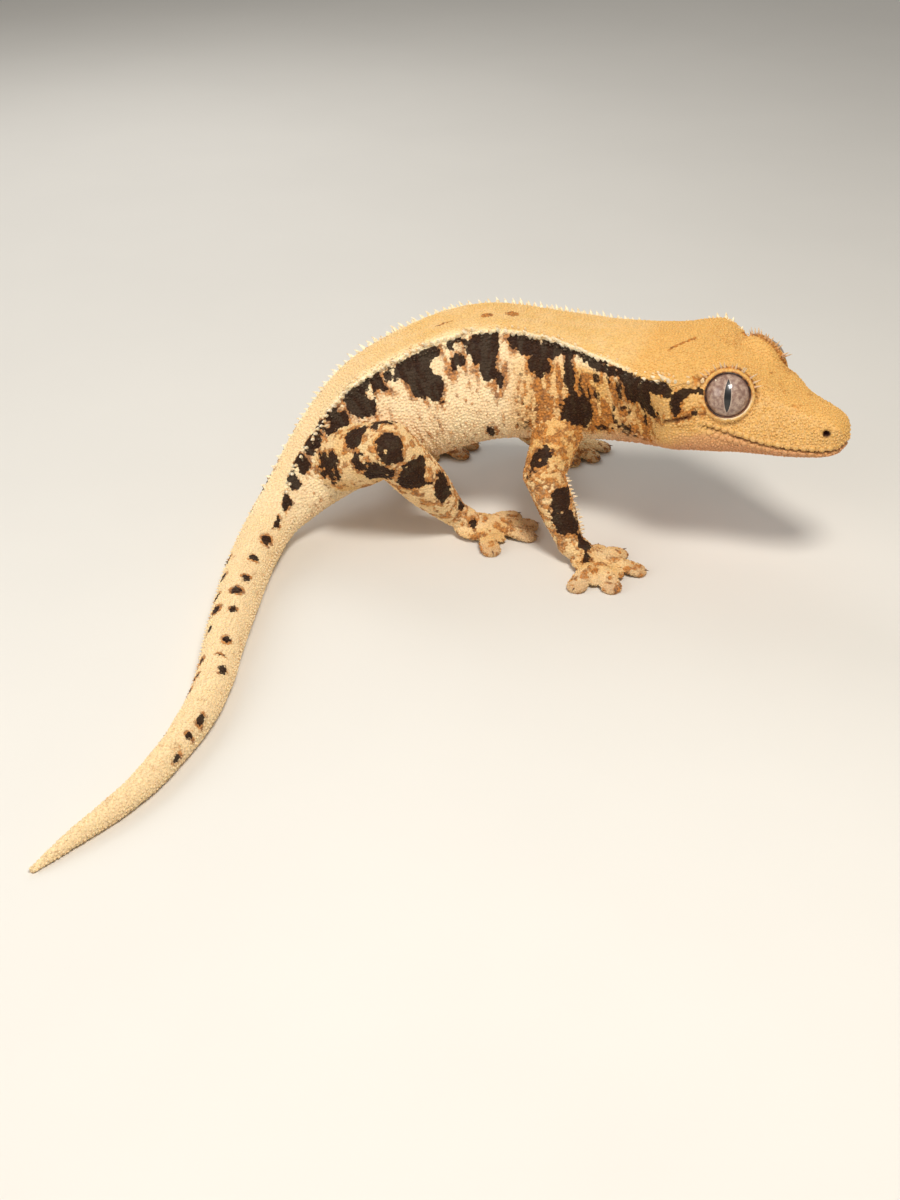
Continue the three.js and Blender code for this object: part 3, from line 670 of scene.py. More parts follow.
LIGHT_BODY = [
    (73.2, 1.33, 1.7, 0.13), (81.2, 1.3, 0.9, 0.08), (80.0, 1.38, 0.9, 0.1), (85.0, 1.28, 0.7, 0.1),
    (83.8, 1.36, 0.6, 0.08), (90.0, 1.14, 1.0, 0.08), (69.0, 1.2, 0.9, 0.12), (67.8, 1.4, 0.8, 0.1),
    (93.9, 1.14, 1.0, 0.08), (97.7, 0.95, 0.5, 0.1), (103.9, 1.08, 0.8, 0.1), (62.2, 1.28, 0.9, 0.14),
    (50.8, 1.42, 1.5, 0.17), (46.1, 1.22, 1.3, 0.11), (45.0, 1.5, 1.5, 0.3), (50.8, 1.74, 1.0, 0.12),
    (29.2, 1.56, 1.7, 0.2), (24.2, 1.55, 1.3, 0.12), (42.8, 1.6, 0.7, 0.4), (37.4, 1.6, 0.6, 0.3),
]
TAIL_SPOTS = [
    (128.4, 0.53, 0.9, 0.3), (134.8, 0.5, 0.9, 0.28), (139.3, 0.2, 1.1, 0.4), (144.3, 0.3, 0.8, 0.25),
    (152.5, 0.47, 0.9, 0.3), (156.7, 0.43, 0.6, 0.3), (160.0, 0.85, 0.9, 0.35), (171.1, 1.05, 1.0, 0.35),
    (174.9, 1.1, 0.9, 0.35), (179.4, 1.5, 0.9, 0.3), (122.2, 0.8, 1.2, 0.35),
]
TAIL_SPOTS_FAR = [(s + 4.5, v + 0.8, length, width) for s, v, length, width in TAIL_SPOTS]
BACK_SPECKS = [(64.7, 0.2, 0.8, 0.2), (61.4, 0.04, 1.0, 0.2), (70.3, 0.14, 1.6, 0.05)]
# Patches on the near legs are (x, y, z, radius); on the far legs (along the leg, half length)
DARK_NEAR_LEGS = {
    "arm_right": [(16.1, -13.2, 18.6, 2.1), (19.3, -16.6, 11.6, 2.2), (20.4, -17.8, 8.2, 2.5),
                  (23.3, -18.6, 4.4, 1.4), (23.2, -20.6, 2.8, 1.0)],
    "leg_right": [(-21.0, -12.1, 15.8, 2.9), (-16.0, -13.0, 22.2, 2.8), (-11.5, -12.4, 24.0, 2.2),
                  (-10.2, -17.2, 22.2, 3.0), (-14.8, -15.8, 19.4, 2.1), (-11.6, -16.5, 17.2, 2.7),
                  (-6.3, -15.9, 16.3, 3.2), (-1.3, -12.3, 12.1, 2.7), (2.1, -8.1, 6.5, 1.5),
                  (4.5, -8.2, 3.3, 1.0)],
}
DARK_FAR_LEGS = {
    "arm_left": [(0.2, 0.25), (0.95, 0.16), (1.5, 0.2)],
    "leg_left": [(0.2, 0.16), (0.62, 0.15), (1.05, 0.16), (1.5, 0.18)],
}
# Regions of the body: where each starts, is full, fades and ends along the middle line, then round the section
REGIONS = {
    "neck": ((29, 33, 45, 49), (1.2, 1.5, 2.6, 3.3)),
    "shoulder": ((40, 45, 56, 64), (1.2, 1.45, 2.5, 3.1)),
    "flank dots": ((48, 56, 104, 116), (1.35, 1.7, 3.1, 3.5)),
    "rear dots": ((60, 70, 108, 118), (0.66, 0.8, 1.15, 1.3)),
}
# Noise laid over the skin: layers of weight, squeeze round the section, size and shift
PATTERNS = {
    "ragged": ((0.7, 0.5, 2.1, 0.0), (0.5, 0.5, 0.95, 3.0), (0.45, 1, 0.5, 5.0)),
    "streak": ((0.6, 0.28, 0.8, 8.0), (0.45, 0.6, 0.45, 9.0)),
    "fleck": ((1, 0.5, 1.3, 11.0), (0.6, 1, 0.6, 12.0)),
    "bars": ((1, 0.22, 1.1, 15.0), (0.7, 0.5, 0.55, 16.0)),
    "dots": ((1, 0.6, 0.62, 21.0),),
    "drift along": ((0.5, 1, 3.0, 2.0),),
    "drift round": ((0.04, 1, 2.6, 6.0),),
    "column drift": ((0.5, 1, 3.5, 22.0),),
}
OUTSIDE = -9.0
COLUMN_SPACING = 1.35
FAR_SHIFT = 2.4                    # how far the far side's patches lie in front of the near side's
NEAR_EYE = 6.8                     # distance from the eyeball's centre


def patches(s, v, table):
    """Depth inside the nearest patch in millimetres, less than 0 outside."""
    best = np.full(len(s), OUTSIDE)
    for patch_s, patch_v, length, width in table:
        d = np.sqrt(((s - patch_s) / length) ** 2 + ((v - patch_v) / width) ** 2)
        best = np.maximum(best, (1 - d) * min(length, width * 9))
    return best


def laid_flat(points, s, v, leg):
    """Each point's place on the skin laid out flat, in millimetres."""
    around = np.abs(v) * np.maximum(np.hypot(*section(s, v)), 1) * 0.8
    flat = np.stack([s, around, np.where(v < 0, 40.0, 0.0)], -1)
    return np.where((leg < 0)[:, None], flat, points)


def leg_patches(points, leg, t, normals):
    best = np.full(len(points), OUTSIDE)
    for k, name in enumerate(LEGS):
        mine = leg == k
        value = np.full(mine.sum(), OUTSIDE)
        for x, y, z, radius in DARK_NEAR_LEGS.get(name, ()):
            value = np.maximum(value, radius - np.linalg.norm(points[mine] - (x, y, z), axis=1))
        for at, reach in DARK_FAR_LEGS.get(name, ()):
            value = np.maximum(value, (1 - np.abs(t[mine] - at) / reach) * reach * 12)
        if name.endswith("left"):
            value = np.minimum(value, 3.0 * (0.8 * normals[mine, 1] + 0.6 * normals[mine, 2] + 0.1))
        best[mine] = value
    return best


def dark_depth(points, s, v, leg, t, normals, pattern):
    """Depth inside the dark markings, their edges broken by light patches and by noise."""
    h, far, ragged = np.abs(v), v < 0, pattern["ragged"]
    moved_s = s + pattern["drift along"] + np.where(far, FAR_SHIFT, 0)
    moved_h = h + pattern["drift round"]
    depth = patches(moved_s, moved_h, DARK_BODY) + 0.2 + 0.85 * ragged
    depth = np.minimum(depth, 0.3 - 2.2 * patches(moved_s, moved_h, LIGHT_BODY) + 0.4 * ragged)
    edge = np.where(far, 1.05, 1.03 - 0.23 * step(84, 92, s))
    depth = np.where(h < edge + 0.02 * ragged, np.minimum(depth, (h - edge) * 14), depth)
    depth = np.where(s > 119, -3.0, depth)
    spots = patches(s + 0.5 * ragged, v + 0.1 * ragged, TAIL_SPOTS)
    spots = 1.2 * np.maximum(spots, patches(s, -v, TAIL_SPOTS_FAR))
    on_limbs = leg_patches(points, leg, t, normals) - 0.15 + 1.35 * ragged
    depth = np.where(leg < 0, np.maximum(depth, spots), on_limbs)
    return np.minimum(depth, (0.85 - pattern["fleck"]) * 1.5)


def markings_and_shade(points, s, v, leg, t, normals):
    """Masks from 0 to 1 for each point of the skin: markings, and painted shade in recesses and on the
    underside.
    """
    body, limbs, h = leg < 0, leg >= 0, np.abs(v)
    flat = laid_flat(points, s, v, leg)
    pattern = {name: sum(weight * noise(flat * (1, squeeze, 1), size, shift)
                         for weight, squeeze, size, shift in layers) for name, layers in PATTERNS.items()}
    ragged, bars = pattern["ragged"], pattern["bars"]
    neck, shoulder, flank_dots, rear_dots = [
        body * band(s, *along) * band(h, *across) for along, across in REGIONS.values()]
    depth = dark_depth(points, s, v, leg, t, normals, pattern)
    arms = (leg == 0) | (leg == 1)
    arm = arms * step(2.3, 1.9, t)
    tail = body * step(112, 118, s)

    # Dark patches, and brown streaks down the neck, the shoulder and the arms
    dark = most(step(-0.22, 0.3, depth),
                0.72 * neck * step(0.0, 0.6, bars),
                0.6 * shoulder * step(0.25, 0.8, bars),
                0.55 * arm * step(0.1, 0.55, layered(points, 2.0, 3, 27.0)))

    # Amber fringe round the dark, drawn out downwards on the flank, and loose amber streaks and dots
    reach = np.where(body, 1.2 + 1.1 * step(1.25, 1.8, h), 1.2)
    fringe = step(-reach, 0.0, depth) * step(-0.45, 0.3, pattern["streak"])
    fringe *= np.where(body & (s < 88), step(0.99, 1.08, h), 1)
    mottled = most(np.where(limbs, 0.75, 0.25 * band(h, 1.15, 1.4, 1.9, 2.4) * (s < 112)), 0.9 * shoulder, neck)
    mottle = np.where(limbs, 0.15 + 0.25 * arm + 1.5 * layered(flat, 1.1, 3, 13.0),
                      pattern["streak"] + 0.35 * neck + 0.35 * shoulder)
    columns = 0.5 + 0.5 * np.cos(2 * math.pi * (s + pattern["column drift"]) / COLUMN_SPACING)
    dots = step(0.1, 0.45, pattern["dots"])
    amber = most(fringe, mottled * step(0.05, 0.5, mottle),
                 (0.25 + 0.4 * columns) * dots * flank_dots, 0.5 * dots * rear_dots,
                 0.35 * tail * step(0.25, 0.6, layered(flat, 1.6, 2, 17.0)))

    # Broad colours of the head, back, belly and limbs, with painted shade darkening the underside towards pink
    warm = body * step(44, 28, s) * step(1.15, 1.0, h) + body * step(37, 30, s) + 0.75 * shoulder + 0.85 * neck
    warm = most(np.clip(warm, 0, 1), limbs * 0.6 * step(-0.3, 0.6, layered(points, 3.5, 2, 5.0)),
                arms * 0.85 * step(1.25, 0.7, t))
    tan = body * step(1.02, 0.92, h) * (0.25 + 0.75 * step(98, 70, s)) * step(118, 104, s)
    tan = np.clip(tan + 0.3 * tail + limbs * 0.5, 0, 1)
    pale = most(body * step(60, 72, s) * bell(h - 0.98, 0.2) * (s < 116) + 0.1 * tail,
                body * band(s, 24, 30, 100, 112) * bell(h - 1.0, 0.045))
    # Painted shade: the underside darkened towards pink
    under = body * step(2.9, 3.4, h) * step(116, 100, s)
    pads = limbs * step(3.4, 3.75, t + 0.15 * ragged) * 0.6

    # The mouth's surroundings, with painted shade in the crease at the mouth's corner
    mouth = body * step(30, 22, s)
    below = from_lips(s, v) + 0.5 * step(19, 23, s) * ragged
    chin = mouth * step(-0.9, 0.9, below - 2.2 * step(17, 24, s)) + body * step(48, 36, s) * step(2.5, 3.0, h)
    crease_shade = mouth * step(22.5, 21, s) * bell(below, 0.2) * 0.85
    dark = dark * (1 - np.clip(mouth * step(-0.8, 0.0, below), 0, 1))

    # Eye rims; painted shade inside the eye sockets and nostrils and along the ear openings
    socket_shade = rim = np.zeros(len(points))
    bare = body_point(s, v)
    for side in SIDES:
        d, r, theta = eye_angle(points, side)
        near = r < NEAR_EYE
        mine = body & (v * side > 0) & (s < 32)
        rim = most(rim, near * bell(theta - RIM - 0.18, 0.13) * step(-2.5, 2.0, d @ eye_frame(side)[2]))
        socket_shade = most(socket_shade, near * (theta < RIM - 0.03), mine * step(0.8, 0.55, from_nostril(bare, side)))
        # Painted shade along the ear opening's groove
        crease_shade = most(crease_shade, mine * bell(from_line(bare, side, EAR), 0.36))

    # Specks on the back, a dash on the head and freckles, on a calm crown
    specks = body * step(-0.2, 0.5, 2.0 * patches(s, v, BACK_SPECKS) + 0.4 * ragged)
    dash = body * (v >= 0) * step(0.6, 0.2, from_line(bare, 1, HEAD_DASH) - 0.3 * ragged)
    calm = body * step(30, 22, s) * step(1.35, 1.2, h)
    freckles = 0.5 * body * step(30, 20, s) * step(0.15, 0.6, layered(flat, 2.4, 3, 23.0))
    amber = most(amber * (1 - calm), specks, dash, 0.8 * rim, freckles)
    pink_and_underside_shade = np.clip(0.8 * chin + 0.35 * under, 0, 1) * (1 - 0.5 * freckles)
    return dict(dark=dark, amber=amber, warm=warm, tan=tan, pale=np.clip(pale, 0, 1), pink_and_underside_shade=pink_and_underside_shade, pads=pads,
                crease_shade=crease_shade, socket_shade=socket_shade)


# Materials

def colour(red, green, blue):
    """Linear colour of screen values from 0 to 255."""
    c = np.array([red, green, blue]) / 255
    return (*np.where(c <= 0.04045, c / 12.92, ((c + 0.055) / 1.055) ** 2.4), 1.0)


CREAM = colour(246, 216, 172)
BACK = colour(228, 184, 114)
PALE = colour(250, 228, 184)
HEAD_GOLD = colour(224, 172, 96)
DARK = colour(38, 19, 10)
AMBER = colour(198, 122, 44)
BROWN = colour(116, 62, 26)
# The chin's own pink, also laid on the underside as painted shade
PINK = colour(212, 154, 108)
PAD = colour(190, 150, 114)
# Painted shade in the crease at the mouth's corner and along each ear opening
CREASE_SHADE = colour(92, 46, 28)
# Painted shade inside the eye openings and the nostrils
SOCKET_SHADE = colour(48, 18, 12)
SPINE_CREAM = colour(252, 240, 212)
CELL_SIZE = 0.42


class Nodes:
    """Builds a material's node tree."""

    def __init__(self, name):
        self.material = bpy.data.materials.new(name)
        self.material.use_nodes = True
        self.tree = self.material.node_tree
        self.shader = self.tree.nodes["Principled BSDF"]

    def feed(self, node, inputs):
        """Sets inputs to constants, or joins them to other nodes' outputs."""
        for key, value in inputs.items():
            if isinstance(value, bpy.types.NodeSocket):
                self.tree.links.new(value, node.inputs[key])
            else:
                node.inputs[key].default_value = value

    def add(self, kind, inputs, output=0, **settings):
        node = self.tree.nodes.new(kind)
        for key, value in settings.items():
            setattr(node, key, value)
        self.feed(node, inputs)
        return node.outputs[output]

    def attribute(self, name):
        return self.add("ShaderNodeAttribute", {}, "Fac", attribute_name=name)

    def coordinates(self):
        return self.add("ShaderNodeTexCoord", {}, "Object")

    def noise(self, scale, detail=2.0, rough=0.55):
        """Noise whose features are scale millimetres wide."""
        return self.add("ShaderNodeTexNoise", {"Vector": self.coordinates(), "Scale": 1 / (scale * MM),
                                               "Detail": detail, "Roughness": rough}, "Fac")

    def ramp(self, value, low, high, to_low=0.0, to_high=1.0):
        return self.add("ShaderNodeMapRange", {"Value": value, "From Min": low, "From Max": high,
                                               "To Min": to_low, "To Max": to_high},
                        "Result", interpolation_type="SMOOTHSTEP")

    def math(self, operation, a, b):
        return self.add("ShaderNodeMath", {0: a, 1: b}, operation=operation)

    def mix(self, base, top, amount, blend="MIX"):
        return self.add("ShaderNodeMix", {6: base, 7: top, 0: amount}, 2, data_type="RGBA", blend_type=blend)

    def layers(self, base, *layers):
        """Lays colours over a base one after the other, each by its amount."""
        for top, amount in layers:
            base = self.mix(base, top, amount)
        return base

    def bump(self, height, depth, strength=1.0):
        self.feed(self.shader, {"Normal": self.add("ShaderNodeBump", {
            "Height": height, "Distance": depth * MM, "Strength": strength}, "Normal")})


def skin_colour(m):
    """The markings and the painted shade as colour; the same on skin, scales and spines."""
    fine, broad = m.noise(0.5, 3), m.noise(4.0, 3)
    uneven = m.math("MULTIPLY", m.math("SUBTRACT", fine, 0.5), 1.1)
    amber = m.ramp(m.math("ADD", m.attribute("amber"), uneven), 0.12, 0.85)
    dark = m.ramp(m.math("ADD", m.attribute("dark"), uneven), 0.3, 0.7)
    base = m.layers(
        m.mix(CREAM, PALE, m.ramp(broad, 0.45, 0.7, 0.0, 0.6)),
        (BACK, m.math("MULTIPLY", m.attribute("tan"), m.ramp(broad, 0.3, 0.7, 0.75, 1.0))),
        (PALE, m.attribute("pale")),
        (HEAD_GOLD, m.math("MULTIPLY", m.attribute("warm"), m.ramp(fine, 0.2, 0.75, 0.72, 1.0))),
        (PINK, m.attribute("pink_and_underside_shade")),
        (PAD, m.attribute("pads")),
        (m.mix(AMBER, BROWN, m.ramp(m.noise(0.8, 4, 0.7), 0.4, 0.62)), m.math("MULTIPLY", amber, 0.85)),
        (CREASE_SHADE, m.attribute("crease_shade")),
        (DARK, m.math("MULTIPLY", dark, 0.96)))
    grain = m.ramp(m.noise(0.28, 2), 0.25, 0.75, 0.84, 1.1)
    grey = m.add("ShaderNodeCombineColor", {0: grain, 1: grain, 2: grain})
    return m.mix(m.mix(base, grey, 1.0, "MULTIPLY"), SOCKET_SHADE, m.attribute("socket_shade"))


def skin_material(name, roughness=0.58, depth=0.07):
    """The skin's colour, with its painted shade, over small raised cells."""
    m = Nodes(name)
    m.feed(m.shader, {"Base Color": skin_colour(m), "Roughness": roughness, "Specular IOR Level": 0.16,
                      "Subsurface Weight": 0.1, "Subsurface Radius": (0.0012, 0.0006, 0.0003),
                      "Subsurface Scale": 1.0})
    cells = m.add("ShaderNodeTexVoronoi", {"Vector": m.coordinates(), "Scale": 1 / (CELL_SIZE * MM)},
                  "Distance", feature="F1")
    m.bump(m.ramp(cells, 0.0, 0.75, 1.0, 0.0), depth)
    return m.material


def spine_material():
    m = Nodes("spine_keratin")
    cream = m.mix(SPINE_CREAM, BACK, m.ramp(m.noise(0.6, 2), 0.35, 0.8))
    m.feed(m.shader, {"Base Color": m.mix(cream, skin_colour(m), m.attribute("blend")), "Roughness": 0.5,
                      "Subsurface Weight": 0.15, "Subsurface Radius": (0.0008, 0.0005, 0.0003),
                      "Subsurface Scale": 1.0})
    m.bump(m.noise(0.18, 2), 0.04)
    return m.material


# Pieces. The coat is small things set on the skin, each one closed mesh

SCALE_HEIGHT = 0.16
SCALE_SUNK = 0.07
SCALE_LOWEST = 0.01
SCALE_SQUASH = 1.12                # longer along the body than across it
SCALE_GAPS = [0, 0.42, 0.5, 0.48, 0.46]  # none, feet, limbs, tail, face
TRUNK_SCALE_GAP = 0.52
LIP_SCALE_SPACING = 1.22
LIP_SCALE_SIZE = 0.56
LIP_SCALE_HEIGHT = 0.2
SPINE_SUNK = 0.12
TAIL_SPINE = 0.45
LASHES = 12
LASH_ROOT = EYE_RADIUS + 0.45
CLAW_LENGTH = 0.8
CLAW_RADIUS = 0.17
CLAW_BEND = -0.35
PIECE_LIMIT = 190000               # triangles
AROUND = list(product((-1, 0, 1), repeat=3))


def add_piece(name, verts, faces, material, masks, coat=None, nodes=()):
    """A piece of the gecko, with its masks, its place on the coat's map and what it replaces."""
    piece = new_mesh(name, place(verts), faces)
    for key, values in masks.items():
        layer = piece.data.attributes.new(key, "FLOAT", "POINT")
        layer.data.foreach_set("value", np.asarray(values, np.float32))
    if coat:
        coat_map(piece, *coat)
    piece.data.materials.append(material)
    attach(piece, "root")
    if nodes:
        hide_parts(*nodes)


def coat_map(piece, s, v, leg, t):
    """UV map OFBake: each small mesh is a patch at its root's place on an unwrap of the skin."""
    s, v, leg, t = np.broadcast_arrays(*np.atleast_1d(s, v, leg, t))
    u = np.where(leg < 0, 0.02 + 0.96 * s / LENGTH, 0.02 + 0.235 * leg + 0.2 * np.clip(t, 0, 3.4) / 3.4)
    w = np.where(leg < 0, 0.3 + 0.68 * (v + 4) / 8, 0.02 + 0.25 * (0.5 + 0.5 * v))
    turn = np.arange(len(piece.data.loops) // len(u)) * 2.4
    uv = np.stack([u, w], -1)[:, None] + np.stack([np.cos(turn), np.sin(turn)], -1) * 0.0014
    layer = piece.data.uv_layers.new(name="OFBake")
    layer.data.foreach_set("uv", uv.astype(np.float32).ravel())


def circles(x_ways, y_ways, sides):
    """A circle of points for each pair of directions."""
    a = np.linspace(0, 2 * math.pi, sides, endpoint=False)[None, :, None]
    return np.cos(a) * x_ways[:, None] + np.sin(a) * y_ways[:, None]


def stacks(levels, tips, feet):
    """Small closed meshes, each of rings from the skin up, a tip and a foot."""
    verts = np.concatenate([*levels, tips[:, None], feet[:, None]], 1)
    count, per, _ = verts.shape
    sides = levels[0].shape[1]
    k = np.arange(sides)
    n = (k + 1) % sides
    one = []
    for low in range(0, (len(levels) - 1) * sides, sides):
        high = low + sides
        one += [np.stack([low + k, low + n, high + n], 1), np.stack([low + k, high + n, high + k], 1)]
    last = (len(levels) - 1) * sides
    one += [np.stack([last + k, last + n, np.full(sides, per - 2)], 1),
            np.stack([n, k, np.full(sides, per - 1)], 1)]
    faces = np.concatenate(one)[None] + (np.arange(count) * per)[:, None, None]
    return outward(verts.reshape(-1, 3), faces.reshape(-1, 3))


def domes(roots, normals, along, size, height, sides=6):
    """Low rounded scales: a ring sunk into the skin, a smaller ring above it and a top."""
    ring = circles(along * SCALE_SQUASH, np.cross(normals, along), sides) * size[:, None, None]
    rise = normals * height[:, None]
    feet = roots - normals * SCALE_SUNK
    return stacks([feet[:, None] + ring, (roots + rise * 0.62)[:, None] + ring * 0.78], roots + rise, feet)


def cones(roots, ways, side_ways, length, radius, bend, sides=8, rows=5):
    """Tapered spines, each leaning along its bend towards the tip."""
    other = np.cross(ways, side_ways)
    length = np.broadcast_to(length, len(roots))[:, None]
    radius = np.broadcast_to(radius, len(roots))[:, None, None]
    levels = []
    for u in np.arange(rows) / rows:
        centre = roots + ways * length * (u * (1 + SPINE_SUNK) - SPINE_SUNK) + bend * length * u * u
        levels.append(centre[:, None] + circles(side_ways, other, sides) * radius * (1 - u) ** 0.8)
    return stacks(levels, roots + (ways + bend) * length, roots - ways * length * SPINE_SUNK)


def spread_points(verts, spacing):
    """Picks points at least their spacing apart, in a fixed random order; none where it is 0."""
    cells = np.floor(verts / np.max(spacing)).astype(int)
    grid = {}
    kept = []
    for i in rng.permutation(len(verts)):
        if spacing[i] <= 0:
            continue
        x, y, z = verts[i]
        a, b, c = cells[i]
        least = spacing[i] ** 2
        if all((x - p) ** 2 + (y - q) ** 2 + (z - r) ** 2 >= least for da, db, dc in AROUND
               for p, q, r in grid.get((a + da, b + db, c + dc), ())):
            grid.setdefault((a, b, c), []).append((x, y, z))
            kept.append(i)
    return np.array(kept)


def lip_scales(skin):
    """Skin vertices that carry the large scales along both lips."""
    places = []
    for side in SIDES:
        for off in (-0.66, 0.7):
            s = 1.7
            while s < MOUTH_CORNER - 1:
                girth = float(np.hypot(*section(np.array(s), lip_round(s))))
                places.append(body_point(s, side * (lip_round(s) + off / (ROUND_TO_MM * girth))))
                s += LIP_SCALE_SPACING
    return np.unique(nearest(skin.verts, np.array(places))[0])


def add_scales(skin, material):
    """Grain of small domed scales all over, smallest on the face and feet, largest along the lips."""
    bald = skin.hole < 0.8
    for side in SIDES:
        _, r, theta = eye_angle(skin.verts, side)
        bald |= (r < NEAR_EYE) & (theta < RIM + 0.13)
    gap = np.select([bald, skin.t > 2.3, skin.leg >= 0, skin.s > 116, skin.s < 24], SCALE_GAPS, TRUNK_SCALE_GAP)
    kept = spread_points(skin.verts, gap)
    lips = lip_scales(skin)
    kept = kept[nearest(skin.verts[lips], skin.verts[kept])[1] > 0.62]
    large = np.repeat([False, True], [len(kept), len(lips)])
    kept = np.concatenate([kept, lips])
    on_body, on_limb = skin.s[kept] / LENGTH, 2 + skin.leg[kept] + skin.t[kept] / 9
    order = np.argsort(np.where(skin.leg[kept] < 0, on_body, on_limb))
    kept, large = kept[order], large[order]
    ahead, n = body_frame(skin.s[kept])[0], skin.normals[kept]
    along = unit(ahead - n * np.sum(ahead * n, -1, keepdims=True) + 1e-9)
    size = np.where(large, LIP_SCALE_SIZE, gap[kept] * (0.5 + 0.07 * rng.random(len(kept))))
    height = SCALE_HEIGHT * (0.75 + 0.5 * rng.random(len(kept))) * np.where(skin.leg[kept] < 0, 1, 0.85)
    on_floor = skin.verts[kept, 2] < 0.4
    height = np.where(on_floor, 0.3 * height, np.where(large, LIP_SCALE_HEIGHT, height))
    verts, faces = domes(skin.verts[kept], n, along, size, height)
    verts[:, 2] = np.maximum(verts[:, 2], SCALE_LOWEST)
    per, each = len(verts) // len(kept), len(faces) // len(kept)
    limit = PIECE_LIMIT // each
    for k, start in enumerate(range(0, len(kept), limit)):
        ids = kept[start:start + limit]
        stop = start + len(ids)
        masks = {name: np.repeat(mask[ids], per) for name, mask in skin.masks.items()}
        add_piece(f"scales_{k + 1}", verts[start * per:stop * per],
                  faces[start * each:stop * each] - start * per, material, masks,
                  (skin.s[ids], skin.v[ids], skin.leg[ids], skin.t[ids]))


def spine_rows():
    """Every spine's root, way, lean, length, radius, blend and place: crests, temples, lashes and fringes."""
    rows = []

    def add(root, way, lean, length, radius, blend, s, v, leg=-1, t=0.0):
        rows.append((*root, *way, *lean, length, radius, blend, s, v, leg, t))

    def on_body(s, v, out, lean, *size):
        add(body_point(s, v, out), body_normal(np.array(s), np.array(v)), body_frame(s)[0] * lean, *size, s, v)

    for side in SIDES:
        s = CREST_START
        while s < CREST_END + 4:
            grow = float(band(s, 34, 46, CREST_END - 30, CREST_END + 8))
            temple = float(bell(s - 28.3, 1.7))
            size = max(grow, temple, 0.25)
            length = (0.5 + 0.95 * size) * (0.8 + 0.4 * rng.random())
            on_body(s, side * (1.0 + 0.02 * rng.normal()), 0.1, 0.35, length, 0.34 + 0.14 * size, 0.05)
            for _ in range(2):
                off = 1.0 + 0.1 * (1 if rng.random() < 0.5 else -1) + 0.02 * rng.normal()
                blend = 0.9 if off > 1 else 0.35
                on_body(s + 0.55 * rng.random(), side * off, 0.05, 0.3, length * 0.45, 0.26, blend)
            s += (0.95 + 0.2 * rng.random()) * (1.0 if grow > 0.4 or temple > 0.3 else 1.8)
        centre, axis, over, forward = eye_frame(side)

        def on_lid(angle, out_way, rise, lean, *size):
            out = axis * math.cos(RIM + angle) + out_way * math.sin(RIM + angle)
            add(centre + unit(out) * LASH_ROOT, unit(rise), lean, *size, EYE_AT, side * 1.2)

        for k in range(LASHES):
            turn = math.radians(-66 + 124 * k / (LASHES - 1) + 3 * rng.normal())
            way = unit(over * math.cos(turn) - forward * math.sin(turn))
            lash = (0.95 + 0.8 * abs(math.sin(turn))) * (0.85 + 0.3 * rng.random())
            on_lid(0.13, way, way * 0.85 + axis * 0.5, way * 0.1, lash, 0.24, 0.5)
            for _ in range(2):
                moved = unit(way + forward * 0.12 * rng.normal())
                on_lid(0.2, moved, way * 0.8 + axis * 0.6, way * 0.1, 0.45, 0.2, 0.8)
        s = CREST_END + 6
        while s < LENGTH - 8:
            size = TAIL_SPINE * float(1 - 0.7 * (s - CREST_END) / (LENGTH - CREST_END))
            on_body(s, side * (1.75 + 0.04 * rng.normal()), 0.0, 0.4, size, 0.3 * size / TAIL_SPINE, 0.6)
            s += 0.9
    for k, (name, leg) in enumerate(LEGS.items()):
        _, bend, end = [np.array(p) for p in leg["joints"]]
        way = end - bend
        edge = np.array((1.0, 0, 0.15)) if name.startswith("arm") else np.array((-1.0, 0, -0.35))
        edge = unit(edge - way * (edge @ way) / (way @ way))
        radius = track(np.linspace(0, 1, 3), leg["lower"])
        for u in np.arange(0.1, 0.96, 0.055):
            root = bend + way * u + edge * (float(radius(u)) - 0.1) + 0.1 * rng.normal(size=3)
            add(root, edge, 0.3 * unit(way), 0.7 + 0.25 * rng.random(), 0.32, 0.15, 0, 0, k, 1 + u)
    return np.array(rows)


def add_spines(material, sides=8, levels=5):
    root, way, lean, rest = np.split(spine_rows(), (3, 6, 9), 1)
    length, radius, blend, s, v, leg, t = rest.T
    way, leg = unit(way), leg.astype(int)
    side_way = unit(np.cross(way, (0.31, 0.22, 0.93)))
    verts, faces = cones(root, way, side_way, length, radius, lean, sides, levels)
    per = len(verts) // len(root)
    masks = markings_and_shade(root, np.maximum(s, 0.1), v, leg, t, way)
    masks = {name: np.repeat(mask, per) for name, mask in masks.items()}
    height = np.tile([*np.repeat(np.arange(levels) / levels, sides), 1.0, 0.0], len(root))
    masks["blend"] = np.clip(np.repeat(blend, per) + 0.35 * (1 - height) ** 2, 0, 1)
    add_piece("crest_spines", verts, faces, material, masks, (s, v, leg, t))


def add_claws(skin, material):
    ways = unit(np.array([way + (0, 0, 0.15) for way, _ in skin.toes]))
    roots = np.array([pad + way * (TOE_WIDTHS[-1] * 0.8) + (0, 0, 0.25) for way, pad in skin.toes])
    verts, faces = cones(roots, ways, unit(np.cross(ways, Z)), CLAW_LENGTH, CLAW_RADIUS, Z * CLAW_BEND, 8, 6)
    leg = np.repeat(np.arange(len(LEGS)), len(TOE_WIDTHS))
    add_piece("claws", verts, faces, material, {}, (0, 0, leg, 3.2))


def claw_material():
    m = Nodes("claw_horn")
    tone = m.mix(colour(140, 108, 78), colour(92, 66, 46), m.noise(0.3, 2))
    m.feed(m.shader, {"Base Color": tone, "Roughness": 0.35})
    return m.material


# Eyes

PUPIL_HALF_WIDTH = 0.56
PUPIL_HALF_HEIGHT = 2.75
PUPIL_LEAN = math.radians(6)       # the upper end backwards
PALE_LID_TURN = math.radians(50)   # the lids are palest here, in front and below
CORNEA = 0.12                      # how far the ball's middle stands out


